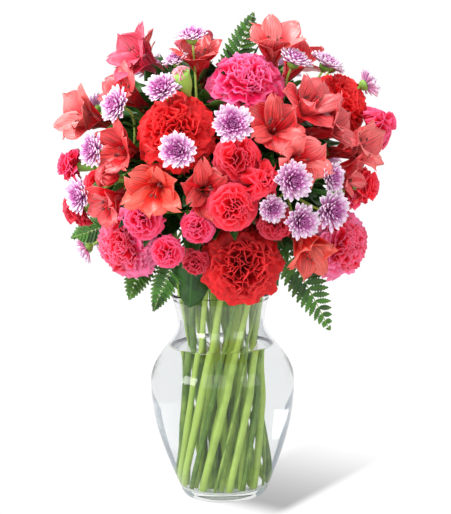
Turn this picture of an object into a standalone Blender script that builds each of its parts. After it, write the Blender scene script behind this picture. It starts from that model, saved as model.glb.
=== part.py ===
"""A mixed carnation bouquet standing in a clear ginger vase, in metres, +Z up.

The origin is the middle of the vase's foot and the bouquet's front faces -Y.

Every bloom is placed on a dome about the bouquet's heart, by a bearing (0 is the front, positive
to the right), an elevation above the horizon and a reach, which is a share of the dome's radius.
Each cut stem is one solid from its foot in the vase to the base of its flowers. The flowers that
it carries are a second solid. Blooms press flat against their neighbours, and yield to the stems
that run past them, as soft petals do.
"""

import math
from collections import namedtuple

import bmesh
import bpy
import numpy as np
from mathutils import Matrix, Vector

MM = 0.001
GAP = 0.35 * MM  # clearance between two pieces that touch

# Vase
VASE_HEIGHT = 203 * MM
FOOT_RADIUS = 41.5 * MM
BELLY_RADIUS = 71 * MM
BELLY_HEIGHT = 112 * MM
NECK_RADIUS = 42.6 * MM
NECK_HEIGHT = 172 * MM
RIM_RADIUS = 50 * MM
GLASS_WALL = 2.8 * MM
GLASS_FLOOR = 8.5 * MM
FOOT_ROUNDING = 2 * MM
SHOULDER_LAG = 1.25  # above 1, the shoulder starts to narrow later
FLARE_POWER = 1.8  # how late the lip turns outwards
VASE_SIDES = 32
WATER_LEVEL = 150 * MM

# Bouquet dome
HEART_OVER_RIM = 119 * MM
DOME_RADIUS = 150 * MM

# Stems, as radii
CARNATION_STEM = 3.0 * MM
SPRAY_STEM = 2.5 * MM
ALSTROEMERIA_STEM = 3.2 * MM
MUM_STEM = 2.3 * MM
FERN_STALK = 1.4 * MM
PEDICEL = 1.2 * MM

# Lanes in which the stems cross the neck: each ring turns its own way down to the floor
Ring = namedtuple("Ring", "neck_share floor_share twist start")
RINGS = {
    "outer": Ring(0.98, 0.96, -70, -199.4),
    "middle": Ring(0.64, 0.60, -90, -143.4),
    "inner": Ring(0.28, 0.27, 55, -34.7),
}

# Blooms, as radius, rise above the bloom's middle and depth below it
Form = namedtuple("Form", "radius rise under")
CARNATION = Form(37 * MM, 20 * MM, 15 * MM)
MINI = Form(18.5 * MM, 11 * MM, 11 * MM)
MUM = Form(16.5 * MM, 7 * MM, 5 * MM)
BUD = Form(8 * MM, 12 * MM, 13 * MM)
CALYX_LENGTH = 22 * MM
CALYX_RADIUS = 6.5 * MM
MINI_CALYX_LENGTH = 14 * MM
MINI_CALYX_RADIUS = 4.5 * MM
MUM_CUP_LENGTH = 4 * MM
MUM_CUP_RADIUS = 4.2 * MM
FLORET_LENGTH = 40 * MM
FLORET_MOUTH = 23 * MM
FLORET_THROAT = 3 * MM
FLORET_MIDDLE = 0.7  # share of the floret's length that lies behind its place
DOME_SIDES = 9
DOME_RINGS = 6
SMALL_DOME_SIDES = 8
SMALL_DOME_RINGS = 4

# Leaves
BLADE_THICKNESS = 1.2 * MM
FROND_WIDTH = 40 * MM
RIM_LEAF_LENGTH = 46 * MM
RIM_LEAF_WIDTH = 27 * MM

# A bloom's place on the dome, the way it faces and its size as a share of its form
Bloom = namedtuple("Bloom", "bearing elevation reach faces_bearing faces_elevation size")
Spray = namedtuple("Spray", "ring hub blooms buds")
Frond = namedtuple("Frond", "ring root tip width droop")

CARNATIONS = {
    "pink_top": ("inner", Bloom(22, 48, 0.75, 16, 48, 1.04)),
    "pink_left": ("outer", Bloom(-63, -33, 0.78, -38, -4, 1.02)),
    "pink_right": ("outer", Bloom(77, -31, 0.92, 42, -2, 1.0)),
    "red_upper": ("middle", Bloom(-20, 22, 0.76, -14, 20, 1.05)),
    "red_front": ("outer", Bloom(14, -42, 0.79, 8, 6, 1.08)),
    "red_right": ("inner", Bloom(84, 28, 0.90, 60, 34, 0.92)),
    "red_back": ("outer", Bloom(150, -20, 0.79, 150, -2, 1.0)),
    "pink_back": ("outer", Bloom(-140, -20, 0.79, -140, -2, 1.0)),
}

MINI_CARNATIONS = {
    "centre": Spray("middle", (10, -2, 0.52), (
        Bloom(6, -10, 0.87, 4, -6, 1.28),
        Bloom(9, 9, 0.82, 8, 12, 1.25),
        Bloom(28, -20, 0.80, 24, -12, 1.0),
    ), (
        Bloom(17, 0, 0.90, 20, 4, 1.2),
        Bloom(-15, 39, 0.94, -22, 50, 1.1),
    )),
    "left": Spray("outer", (-18, -24, 0.52), (
        Bloom(-30, -14, 0.93, -22, -6, 1.05),
        Bloom(-22, -27, 0.93, -14, -12, 0.88),
        Bloom(-9, -19, 0.85, -6, -14, 0.88),
        Bloom(-14, -40, 0.80, -12, -20, 0.75),
    ), ()),
    "side_left": Spray("outer", (-98, -6, 0.55), (
        Bloom(-83, -14, 0.95, -80, -14, 1.0),
        Bloom(-85, 3, 0.95, -96, 4, 1.0),
        Bloom(-114, -8, 0.92, -114, -8, 1.0),
    ), ()),
    "side_right": Spray("outer", (112, -12, 0.58), (
        Bloom(74, -6, 0.97, 88, -8, 1.0),
        Bloom(106, -13, 0.94, 106, -13, 1.0),
    ), (
        Bloom(81, 15, 1.08, 76, 26, 1.25),
    )),
}

ALSTROEMERIAS = {
    "top_left": Spray("inner", (-42, 52, 0.50), (
        Bloom(-58, 53, 0.90, -74, 40, 1.1),
        Bloom(-57, 38, 0.82, -46, 34, 1.0),
        Bloom(-14, 60, 0.81, -2, 66, 1.0),
    ), ()),
    "left": Spray("middle", (-62, 14, 0.50), (
        Bloom(-85, 23, 0.90, -78, 20, 1.15),
        Bloom(-45, 12, 0.81, -42, 10, 1.05),
    ), (
        Bloom(-46, 2, 0.90, -60, 20, 1.1),
    )),
    "centre_left": Spray("outer", (-26, -5, 0.48), (
        Bloom(-24, -2, 0.87, -12, -4, 1.15),
        Bloom(-46, -8, 0.90, -40, -22, 0.9),
        Bloom(-6, -4, 0.77, 4, 4, 1.0),
    ), ()),
    "right": Spray("middle", (38, 18, 0.48), (
        Bloom(42, 27, 0.90, 34, 34, 1.15),
        Bloom(26, 21, 0.83, 8, 22, 1.05),
        Bloom(52, 18, 0.91, 60, 14, 1.1),
        Bloom(32, 7, 0.88, 20, -4, 1.1),
    ), ()),
    "side_right": Spray("outer", (58, -8, 0.50), (
        Bloom(67, 9, 0.93, 74, 12, 1.15),
        Bloom(62, 0, 0.88, 64, -16, 0.9),
        Bloom(41, -28, 0.90, 36, -34, 1.1),
    ), ()),
    "top": Spray("inner", (84, 62, 0.50), (
        Bloom(46, 57, 0.91, 8, 62, 1.1),
        Bloom(112, 50, 0.87, 112, 50, 1.1),
        Bloom(-165, 58, 0.86, -165, 58, 1.1),
        Bloom(-110, 54, 0.88, -110, 54, 1.0),
    ), ()),
    "back": Spray("middle", (178, 16, 0.50), (
        Bloom(180, 4, 0.88, 180, 4, 1.1),
        Bloom(165, 30, 0.87, 165, 30, 1.1),
        Bloom(-162, 28, 0.88, -162, 28, 1.1),
        Bloom(-175, -20, 0.88, -175, -20, 1.1),
    ), ()),
}

MUMS = {
    "top": Spray("inner", (-16, 36, 0.50), (
        Bloom(-17, 61, 0.97, -10, 66, 1.0),
        Bloom(-24, 35, 0.94, -20, 42, 1.1),
        Bloom(-29, 55, 0.86, -34, 60, 0.8),
        Bloom(-13, 11, 1.0, -14, 10, 1.1),
        Bloom(6, 20, 0.97, 4, 16, 1.15),
    ), ()),
    "left": Spray("outer", (-58, 4, 0.60), (
        Bloom(-45, 28, 0.95, -50, 18, 1.15),
        Bloom(-52, 11, 0.96, -50, 8, 1.1),
        Bloom(-56, -5, 1.01, -50, 2, 1.15),
        Bloom(-81, -29, 1.0, -85, -30, 0.9),
    ), ()),
    "top_right": Spray("middle", (72, 38, 0.54), (
        Bloom(46, 46, 0.96, 50, 58, 1.05),
        Bloom(76, 43, 0.98, 70, 60, 1.05),
        Bloom(85, 29, 1.10, 108, 22, 1.0),
        Bloom(94, 40, 1.0, 70, 44, 0.7),
    ), ()),
    "right": Spray("outer", (36, -8, 0.70), (
        Bloom(26, 0, 0.99, 24, 6, 1.15),
        Bloom(43, 0, 0.99, 46, 2, 0.95),
        Bloom(20, -10, 0.93, 16, -6, 0.85),
        Bloom(30, -14, 1.0, 26, -6, 1.1),
        Bloom(42, -11, 1.02, 40, 2, 1.2),
    ), ()),
    "back_left": Spray("middle", (-134, 20, 0.55), (
        Bloom(-112, 24, 0.98, -112, 24, 1.1),
        Bloom(-130, 3, 1.0, -130, 3, 1.1),
        Bloom(-148, 20, 0.98, -148, 20, 1.1),
        Bloom(-138, 44, 0.96, -138, 44, 1.1),
        Bloom(-160, -1, 1.0, -160, -1, 1.0),
        Bloom(-108, -32, 0.95, -108, -32, 1.1),
    ), ()),
    "back_right": Spray("middle", (142, 18, 0.55), (
        Bloom(116, 20, 0.98, 116, 20, 1.1),
        Bloom(130, 2, 1.0, 130, 2, 1.1),
        Bloom(148, 18, 0.98, 148, 18, 1.1),
        Bloom(138, 42, 0.96, 138, 42, 1.1),
        Bloom(160, 3, 1.0, 160, 3, 1.0),
        Bloom(112, -38, 0.95, 112, -38, 1.1),
    ), ()),
}

FERNS = {
    "top": Frond("inner", (150, 80, 0.50), (84, 76, 1.02), 0.8, 0.0),
    "left": Frond("outer", (-104, -28, 0.72), (-98, -24, 1.08), 0.8, 0.0),
    "low_left": Frond("outer", (-94, -46, 0.62), (-77, -52, 0.98), 0.8, 0.1),
    "low_front": Frond("outer", (-38, -50, 0.62), (-56, -58, 0.97), 0.7, 0.1),
    "low_right": Frond("outer", (62, -46, 0.62), (73, -51.5, 1.17), 1.0, 0.2),
    "back": Frond("outer", (178, -44, 0.62), (178, -40, 1.10), 1.0, 0.1),
}


def heart():
    """The point that the whole dome is measured from."""
    return Vector((0, 0, VASE_HEIGHT + HEART_OVER_RIM))


def way(bearing, elevation):
    """The unit vector of a bearing and an elevation in degrees."""
    b, e = math.radians(bearing), math.radians(elevation)
    return Vector((math.sin(b) * math.cos(e), -math.cos(b) * math.cos(e), math.sin(e)))


def spot(bearing, elevation, reach):
    """A place on the dome."""
    return heart() + way(bearing, elevation) * reach * DOME_RADIUS


def glass_radius(z):
    """The vase's outer radius at height z."""
    if z <= BELLY_HEIGHT:
        rise = math.sin(math.pi / 2 * z / BELLY_HEIGHT)
        return FOOT_RADIUS + (BELLY_RADIUS - FOOT_RADIUS) * rise
    if z <= NECK_HEIGHT:
        t = ((z - BELLY_HEIGHT) / (NECK_HEIGHT - BELLY_HEIGHT)) ** SHOULDER_LAG
        return BELLY_RADIUS - (BELLY_RADIUS - NECK_RADIUS) * t * t * (3 - 2 * t)
    t = (z - NECK_HEIGHT) / (VASE_HEIGHT - NECK_HEIGHT)
    return NECK_RADIUS + (RIM_RADIUS - NECK_RADIUS) * t**FLARE_POWER


def glass_heights(low, high, steps):
    """Heights from low to high, with the belly's and the neck's among them."""
    marks = [low] + [z for z in (BELLY_HEIGHT, NECK_HEIGHT) if low < z < high] + [high]
    heights = []
    for a, b in zip(marks, marks[1:]):
        n = max(2, round(steps * (b - a) / (high - low)) + 1)
        heights += [a + (b - a) * i / n for i in range(n)]
    return heights + [high]


def inside_heights():
    """The heights at which the inside of the glass wall is drawn."""
    return glass_heights(GLASS_FLOOR + FOOT_ROUNDING, VASE_HEIGHT - GLASS_WALL / 2, 12)


def material(name, colour, roughness, alpha=1.0, transmission=0.0):
    """A Principled material."""
    made = bpy.data.materials.new(name)
    made.use_nodes = True
    shader = made.node_tree.nodes["Principled BSDF"]
    shader.inputs["Base Color"].default_value = (*colour, 1)
    shader.inputs["Roughness"].default_value = roughness
    shader.inputs["Metallic"].default_value = 0.0
    shader.inputs["Alpha"].default_value = alpha
    shader.inputs["Transmission Weight"].default_value = transmission
    return made


def mesh_object(name, mesh, collection, finish=None):
    """An object for a mesh, in its collection and with its material."""
    obj = bpy.data.objects.new(name, mesh)
    bpy.data.collections[collection].objects.link(obj)
    if finish:
        mesh.materials.append(finish)
    if collection == "helpers":
        obj.hide_render = True
        obj.display_type = "WIRE"
    return obj


def turned(name, profile, sides, collection, finish=None):
    """A solid turned about Z from a profile of (radius, height) that runs down its outer side."""
    bm = bmesh.new()
    verts = [bm.verts.new((r, 0, z)) for r, z in profile]
    for a, b in zip(verts, verts[1:]):
        bm.edges.new((a, b))
    mesh = bpy.data.meshes.new(name)
    bm.to_mesh(mesh)
    bm.free()
    obj = mesh_object(name, mesh, collection, finish)
    screw = obj.modifiers.new("turn", "SCREW")
    screw.axis = "Z"
    screw.steps = sides
    screw.render_steps = sides
    screw.use_merge_vertices = True
    screw.merge_threshold = 0.01 * MM
    screw.use_smooth_shade = True
    return obj


def vase(finish):
    """The ginger vase: a thick flat foot, a full belly, a drawn neck and a flared lip."""
    inside_floor = glass_radius(GLASS_FLOOR) - GLASS_WALL
    inner = [(0, GLASS_FLOOR), (inside_floor - FOOT_ROUNDING, GLASS_FLOOR)]
    inner += [(glass_radius(z) - GLASS_WALL, z) for z in inside_heights()]
    lip_middle = glass_radius(VASE_HEIGHT) - GLASS_WALL / 2
    lip = [
        (lip_middle + GLASS_WALL / 2 * math.cos(a), VASE_HEIGHT - GLASS_WALL / 2 * (1 - math.sin(a)))
        for a in (math.radians(135), math.radians(90), math.radians(45))
    ]
    outer = [
        (glass_radius(z), z)
        for z in glass_heights(FOOT_ROUNDING, VASE_HEIGHT - GLASS_WALL / 2, 13)
    ][::-1]
    foot = [(FOOT_RADIUS - FOOT_ROUNDING, 0), (0, 0)]
    return turned("vase", inner + lip + outer + foot, VASE_SIDES, "bouquet_in_vase", finish)


def tube(name, points, radii, collection, finish=None, sides_level=1):
    """A round solid along points, as a curve with its own radius at each point."""
    curve = bpy.data.curves.new(name, "CURVE")
    curve.dimensions = "3D"
    curve.bevel_depth = 1.0
    curve.bevel_resolution = sides_level
    curve.use_fill_caps = True
    spline = curve.splines.new("POLY")
    spline.points.add(len(points) - 1)
    for point, place, radius in zip(spline.points, points, radii):
        point.co = (*place, 1)
        point.radius = radius
    obj = bpy.data.objects.new(name, curve)
    bpy.data.collections[collection].objects.link(obj)
    if finish:
        curve.materials.append(finish)
    if collection == "helpers":
        obj.hide_render = True
        obj.display_type = "WIRE"
    return obj


def as_mesh(obj, name, collection, finish=None):
    """The evaluated solid of a curve object as a new mesh object. The curve is removed."""
    bpy.context.view_layer.update()
    graph = bpy.context.evaluated_depsgraph_get()
    mesh = bpy.data.meshes.new_from_object(obj.evaluated_get(graph))
    bm = bmesh.new()
    bm.from_mesh(mesh)
    bmesh.ops.remove_doubles(bm, verts=bm.verts, dist=0.01 * MM)
    bm.to_mesh(mesh)
    bm.free()
    mesh.materials.clear()
    made = mesh_object(name, mesh, collection, finish)
    made.matrix_world = obj.matrix_world
    bpy.data.objects.remove(obj)
    return made


def solid_tube(name, points, radii, extra=0.0, sides_level=1):
    """A helper mesh of a tube whose radii are widened by extra."""
    curve = tube(name + "_curve", points, [r + extra for r in radii], "helpers", None, sides_level)
    return as_mesh(curve, name, "helpers")


def bend(start, start_way, end, end_way, steps, pull=0.4):
    """Points of one smooth curve that leaves start along start_way and reaches end along end_way."""
    reach = (end - start).length * pull
    a, b = start + start_way.normalized() * reach, end - end_way.normalized() * reach
    points = []
    for i in range(1, steps + 1):
        t = i / steps
        s = 1 - t
        points.append(start * s**3 + a * (3 * s * s * t) + b * (3 * s * t * t) + end * t**3)
    return points


def lane(ring_name, rank, count):
    """Where a stem stands on the floor and where it crosses the neck."""
    ring = RINGS[ring_name]
    free = min(NECK_RADIUS, RIM_RADIUS) - GLASS_WALL - ALSTROEMERIA_STEM - 2 * GAP
    floor_free = glass_radius(GLASS_FLOOR) - GLASS_WALL - FOOT_ROUNDING - ALSTROEMERIA_STEM
    bearing = ring.start + 360 * rank / count
    neck = way(bearing, 0) * free * ring.neck_share
    foot = way(bearing + ring.twist, 0) * min(floor_free, free) * ring.floor_share
    neck.z = NECK_HEIGHT
    foot.z = GLASS_FLOOR + GAP + ALSTROEMERIA_STEM / 2
    return foot, neck


def lanes():
    """Each stem's foot and neck point. In each ring the stems keep the order of their bearings."""
    wanted = {}
    for name, (ring, bloom) in CARNATIONS.items():
        wanted.setdefault(ring, []).append((bloom.bearing, f"carnation_{name}"))
    for kind, sprays in (
        ("mini_carnation", MINI_CARNATIONS),
        ("alstroemeria", ALSTROEMERIAS),
        ("mum", MUMS),
    ):
        for name, spray in sprays.items():
            wanted.setdefault(spray.ring, []).append((spray.hub[0], f"{kind}_{name}"))
    for name, frond in FERNS.items():
        wanted.setdefault(frond.ring, []).append((frond.root[0], f"fern_{name}"))
    found = {}
    for ring, stems in wanted.items():
        for rank, (_, stem) in enumerate(sorted(stems)):
            found[stem] = lane(ring, rank, len(stems))
    return found


def past_lip(foot, neck):
    """Where a stem's line leaves the vase, or the place over its neck if the lip is in the way."""
    over = foot + (neck - foot) * (VASE_HEIGHT - foot.z) / (neck.z - foot.z)
    for i in range(1, 9):
        point = neck.lerp(over, i / 8)
        room = glass_radius(point.z) - GLASS_WALL - ALSTROEMERIA_STEM
        if math.hypot(point.x, point.y) > room:
            return Vector((neck.x, neck.y, over.z))
    return over


def stem_route(feet, end, end_way, steps=6):
    """The way of a stem: straight from the floor to the rim, then one bend to its flowers."""
    foot, neck = feet
    over = past_lip(foot, neck)
    return [foot, neck, over] + bend(over, over - foot, end, end_way, steps)


def placed(mesh_bm, place, facing):
    """Turns a bmesh that faces +Z to face the way given, at its place."""
    turn = facing.to_track_quat("Z", "Y").to_matrix().to_4x4()
    bmesh.ops.transform(mesh_bm, matrix=Matrix.Translation(place) @ turn, verts=mesh_bm.verts)
    return mesh_bm


def dome_mass(form, size):
    """A bloom's mass of petals about its middle, facing +Z."""
    large = form is CARNATION
    sides, rings = (DOME_SIDES, DOME_RINGS) if large else (SMALL_DOME_SIDES, SMALL_DOME_RINGS)
    bm = bmesh.new()
    bmesh.ops.create_uvsphere(bm, u_segments=sides, v_segments=rings, radius=1)
    for v in bm.verts:
        height = form.rise if v.co.z > 0 else form.under
        v.co = Vector((v.co.x * form.radius, v.co.y * form.radius, v.co.z * height)) * size
    return bm


def floret_mass(size):
    """An alstroemeria floret: a trumpet from its throat to its open mouth, facing +Z."""
    bm = bmesh.new()
    length = FLORET_LENGTH * size
    bmesh.ops.create_cone(
        bm, cap_ends=True, segments=SMALL_DOME_SIDES, radius1=FLORET_THROAT,
        radius2=FLORET_MOUTH * size, depth=length,
    )
    bmesh.ops.translate(bm, vec=(0, 0, length * (0.5 - FLORET_MIDDLE)), verts=bm.verts)
    return bm


class Mass:
    """A convex body of petals that can be pressed flat by its neighbours."""

    def __init__(self, node, bm, place, facing):
        self.node = node
        self.place = place
        self.facing = facing
        self.bm = placed(bm, place, facing)
        bmesh.ops.recalc_face_normals(self.bm, faces=self.bm.faces)

    def points(self):
        return np.array([v.co for v in self.bm.verts])

    def normals(self):
        self.bm.normal_update()
        return np.array([f.normal for f in self.bm.faces])

    def cut(self, point, normal):
        """Takes away what lies beyond a plane and closes the cut."""
        everything = list(self.bm.verts) + list(self.bm.edges) + list(self.bm.faces)
        cut = bmesh.ops.bisect_plane(
            self.bm, geom=everything, dist=0.01 * MM, plane_co=point, plane_no=normal,
            clear_outer=True,
        )["geom_cut"]
        edges = [e for e in cut if isinstance(e, bmesh.types.BMEdge)]
        if edges:
            bmesh.ops.contextual_create(self.bm, geom=edges)


def press(a, b):
    """Flattens two convex bodies against each other where they would overlap."""
    points_a, points_b = a.points(), b.points()
    between = b.place - a.place
    ways = np.vstack([a.normals(), -b.normals(), [between.normalized()]])
    ways = ways[ways @ np.array(between) > 0]
    depth = (points_a @ ways.T).max(0) - (points_b @ ways.T).min(0) + GAP
    least = int(depth.argmin())
    if depth[least] <= 0:
        return
    normal = Vector(ways[least])
    front = float((points_a @ ways[least]).max())
    middle = front - float(depth[least] - GAP) / 2
    a.cut(normal * (middle - GAP / 2), normal)
    b.cut(normal * (middle + GAP / 2), -normal)


def press_all(masses):
    """Presses every pair of blooms that aren't on the same spray."""
    for i, a in enumerate(masses):
        for b in masses[i + 1 :]:
            if a.node != b.node:
                press(a, b)


def boolean(obj, other, operation):
    """A live Boolean modifier with a helper mesh."""
    made = obj.modifiers.new(operation.lower(), "BOOLEAN")
    made.operation = operation
    made.object = other
    made.solver = "EXACT"


def reaches_into(mass, points, radii):
    """Whether a tube comes near a bloom's mass."""
    faces = mass.normals()
    tops = (mass.points() @ faces.T).max(0)
    dense = []
    for p, q, r in zip(points, points[1:], radii):
        n = max(1, int((q - p).length / (2 * MM)))
        dense += [(p.lerp(q, i / n), r) for i in range(n + 1)]
    for p, r in dense:
        if (np.array(p) @ faces.T - tops).max() < r + GAP:
            return True
    return False


class Tube:
    """A stem, stalk or pedicel: its node, its points and its radii."""

    def __init__(self, node, points, radii):
        self.node = node
        self.points = points
        self.radii = radii


def carnation_parts(routes):
    """The stems and petal masses of the large carnations."""
    tubes, masses = [], []
    for name, (_, bloom) in CARNATIONS.items():
        place = spot(bloom.bearing, bloom.elevation, bloom.reach)
        facing = way(bloom.faces_bearing, bloom.faces_elevation)
        node = f"carnation_{name}_bloom"
        masses.append(Mass(node, dome_mass(CARNATION, bloom.size), place, facing))
        calyx_top = place - facing * (CARNATION.under * bloom.size + GAP)
        calyx_base = calyx_top - facing * CALYX_LENGTH
        points = stem_route(routes[f"carnation_{name}"], calyx_base, facing)
        radii = [CARNATION_STEM] * len(points)
        points += [calyx_base.lerp(calyx_top, 0.3), calyx_top]
        radii += [CALYX_RADIUS * 0.85, CALYX_RADIUS]
        tubes.append(Tube(f"carnation_{name}_stem", points, radii))
    return tubes, masses


def spray_parts(kind, sprays, routes, stem_radius, shape, cup):
    """The stems, pedicels and petal masses of sprays, whose flowers are one solid per stem."""
    stems, pedicels, masses = [], [], []
    for name, spray in sprays.items():
        hub = spot(*spray.hub)
        outward = way(*spray.hub[:2])
        node = f"{kind}_{name}_blooms"
        stem_end = hub - outward * (PEDICEL * 1.5 + GAP)
        points = stem_route(routes[f"{kind}_{name}"], stem_end, outward)
        stems.append(Tube(f"{kind}_{name}_stem", points, [stem_radius] * len(points)))
        for bloom in spray.blooms + spray.buds:
            place = spot(bloom.bearing, bloom.elevation, bloom.reach)
            facing = way(bloom.faces_bearing, bloom.faces_elevation)
            bud = bloom in spray.buds
            mass = dome_mass(BUD, bloom.size) if bud else shape(bloom.size)
            masses.append(Mass(node, mass, place, facing))
            depth, cup_length, cup_radius = cup(bloom.size, bud)
            base = place - facing * (depth + cup_length)
            points = [hub] + bend(hub, place - hub, base, facing, 3, 0.3)
            radii = [PEDICEL] * len(points)
            if cup_length:
                points.append(place - facing * depth * 0.2)
                radii.append(cup_radius)
            else:
                points.append(base + facing * FLORET_THROAT)
                radii.append(PEDICEL)
            pedicels.append(Tube(node, points, radii))
    return stems, pedicels, masses


def mini_cup(size, bud):
    """How deep a small carnation's mass is behind its place, and its calyx."""
    depth = (BUD.under if bud else MINI.under) * size
    return depth, (0.4 if bud else 1.0) * MINI_CALYX_LENGTH, MINI_CALYX_RADIUS


def mum_cup(size, bud):
    """How deep a mum's mass is behind its place, and the green cup under it."""
    return MUM.under * size, MUM_CUP_LENGTH, MUM_CUP_RADIUS


def floret_cup(size, bud):
    """How deep a floret's or a bud's mass is behind its place. It has no cup."""
    return (BUD.under if bud else FLORET_LENGTH * FLORET_MIDDLE) * size, 0.0, 0.0


def blade(name, root, tip, side, width, sag, finish):
    """A leaf blade: a strip as wide as a leaf outline, sagging along its length, made thick."""
    length_steps = 8
    bm = bmesh.new()
    bmesh.ops.create_grid(bm, x_segments=2, y_segments=length_steps, size=0.5)
    along = tip - root
    for v in bm.verts:
        t = v.co.y + 0.5
        half = width / 2 * max(0.08, math.sin(math.pi * min(1, 0.12 + t * 0.88)) ** 0.8)
        drop = Vector((0, 0, -sag * along.length * (t * t)))
        v.co = root + along * t + side * (v.co.x * 2 * half) + drop
    mesh = bpy.data.meshes.new(name)
    bmesh.ops.recalc_face_normals(bm, faces=bm.faces)
    bm.to_mesh(mesh)
    bm.free()
    obj = mesh_object(name, mesh, "bouquet_in_vase", finish)
    thick = obj.modifiers.new("thickness", "SOLIDIFY")
    thick.thickness = BLADE_THICKNESS
    thick.offset = 0
    return obj


def fern(name, frond, feet, finish):
    """A frond: its stalk from the water up, joined to its blade outside the flowers."""
    root, tip = spot(*frond.root), spot(*frond.tip)
    outward = (tip - root).normalized()
    side = outward.cross(Vector((0, -1 if tip.y < heart().y + 60 * MM else 1, 0.35)))
    leaf = blade(
        f"fern_{name}", root, tip, side.normalized(), FROND_WIDTH * frond.width, frond.droop, finish
    )
    inside = root + outward * (tip - root).length * 0.25
    inside.z -= frond.droop * (tip - root).length * 0.25**2
    points = stem_route(feet, root, outward, 5) + [inside]
    radii = [FERN_STALK] * len(points)
    return leaf, Tube(f"fern_{name}", points, radii)


def leaf_on_petiole(name, root, tip, side, width, sag, petiole_from, finish):
    """A broad leaf with its short petiole."""
    leaf = blade(name, root, tip, side, width, sag, finish)
    along = tip - root
    points = [petiole_from] + bend(petiole_from, root - petiole_from, root + along * 0.2, along, 3)
    return leaf, Tube(name, points, [PEDICEL] * len(points))


def water(tubes, finish):
    """The water: it fills the vase up to its level, and the stems stand in it."""
    top = WATER_LEVEL
    bottom = GLASS_FLOOR + GAP
    heights = [z for z in inside_heights() if z < top - 3 * MM] + [top]
    wall = [(glass_radius(z) - GLASS_WALL - GAP, z) for z in heights][::-1]
    floor = [(wall[-1][0] - FOOT_ROUNDING, bottom), (0, bottom)]
    body = turned("water", [(0, top)] + wall + floor, VASE_SIDES, "bouquet_in_vase", finish)
    for t in tubes:
        foot, neck = t.points[0], t.points[1]
        below = foot + (foot - neck).normalized() * 8 * MM
        cutter = solid_tube(f"{t.node}_in_water", [below, neck], [t.radii[0]] * 2, GAP)
        boolean(body, cutter, "DIFFERENCE")
    return body


def clear_scene():
    """Removes the start-up scene and makes the two collections."""
    for obj in list(bpy.data.objects):
        bpy.data.objects.remove(obj)
    for name in ("bouquet_in_vase", "helpers"):
        collection = bpy.data.collections.new(name)
        bpy.context.scene.collection.children.link(collection)


def finish_of(node, finishes):
    """A bloom's material by its flower and colour."""
    if node.startswith("carnation_pink"):
        return finishes["pink"]
    if node.startswith("carnation_red"):
        return finishes["red"]
    if node.startswith("mini_carnation"):
        return finishes["coral"]
    return finishes["salmon"] if node.startswith("alstroemeria") else finishes["lavender"]


def bloom_nodes(masses, pedicels, others, finishes):
    """One solid per bloom or spray: its masses and pedicels joined, with room for passing stems."""
    for node in dict.fromkeys(m.node for m in masses):
        own = [m for m in masses if m.node == node]
        own_tubes = [t for t in pedicels if t.node == node]
        passing = [
            t for t in others
            if t.node != node and any(reaches_into(m, t.points, t.radii) for m in own)
        ]
        parts = []
        for i, m in enumerate(own):
            mesh = bpy.data.meshes.new(f"{node}_{i}")
            m.bm.to_mesh(mesh)
            parts.append(mesh)
        body = mesh_object(node, parts[0], "bouquet_in_vase", finish_of(node, finishes))
        for i, mesh in enumerate(parts[1:]):
            boolean(body, mesh_object(f"{node}_mass_{i + 1}", mesh, "helpers"), "UNION")
        for t in passing:
            boolean(body, solid_tube(f"{node}_room_{t.node}", t.points, t.radii, GAP), "DIFFERENCE")
        for i, t in enumerate(own_tubes):
            pedicel = solid_tube(f"{node}_pedicel_{i}", t.points, t.radii, 0.0, 0)
            boolean(body, pedicel, "UNION")


def main():
    clear_scene()
    finishes = {
        "glass": material("clear_glass", (0.95, 0.97, 0.97), 0.02, 0.3, 1.0),
        "water": material("still_water", (0.9, 0.95, 0.95), 0.02, 0.3, 1.0),
        "stem": material("green_stem", (0.28, 0.45, 0.10), 0.5),
        "leaf": material("dark_leaf", (0.03, 0.12, 0.03), 0.5),
        "fern": material("fern_green", (0.06, 0.20, 0.04), 0.5),
        "pink": material("hot_pink_petals", (0.90, 0.08, 0.22), 0.6),
        "red": material("red_petals", (0.75, 0.01, 0.02), 0.6),
        "coral": material("coral_petals", (0.85, 0.06, 0.10), 0.6),
        "salmon": material("salmon_petals", (0.80, 0.12, 0.10), 0.6),
        "lavender": material("lavender_petals", (0.62, 0.38, 0.68), 0.6),
    }
    routes = lanes()
    stems, masses = carnation_parts(routes)
    pedicels = []
    for kind, sprays, radius, shape, cup in (
        ("mini_carnation", MINI_CARNATIONS, SPRAY_STEM, lambda s: dome_mass(MINI, s), mini_cup),
        ("alstroemeria", ALSTROEMERIAS, ALSTROEMERIA_STEM, floret_mass, floret_cup),
        ("mum", MUMS, MUM_STEM, lambda s: dome_mass(MUM, s), mum_cup),
    ):
        more_stems, more_pedicels, more_masses = spray_parts(
            kind, sprays, routes, radius, shape, cup
        )
        stems += more_stems
        pedicels += more_pedicels
        masses += more_masses
    press_all(masses)
    stalks = []
    for name, frond in FERNS.items():
        leaf, stalk = fern(name, frond, routes[f"fern_{name}"], finishes["fern"])
        boolean(leaf, solid_tube(f"fern_{name}_stalk", stalk.points, stalk.radii), "UNION")
        stalks.append(stalk)
    for name, (root, tip, side) in {
        "leaf_over_rim": (spot(-22, -46, 0.62), spot(-27, -62, 0.94), Vector((0.96, -0.3, 0))),
        "leaf_low_back": (spot(128, -40, 0.66), spot(128, -58, 0.98), Vector((0.6, 0.8, 0))),
    }.items():
        start = root + (heart() - root) * 0.25
        leaf, petiole = leaf_on_petiole(
            name, root, tip, side.normalized(), RIM_LEAF_WIDTH, 0.0, start, finishes["leaf"]
        )
        boolean(leaf, solid_tube(f"{name}_petiole", petiole.points, petiole.radii), "UNION")
    bloom_nodes(masses, pedicels, stems + stalks + pedicels, finishes)
    for t in stems:
        tube(t.node, t.points, t.radii, "bouquet_in_vase", finishes["stem"])
    vase(finishes["glass"])
    water(stems + stalks, finishes["water"])


main()
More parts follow.
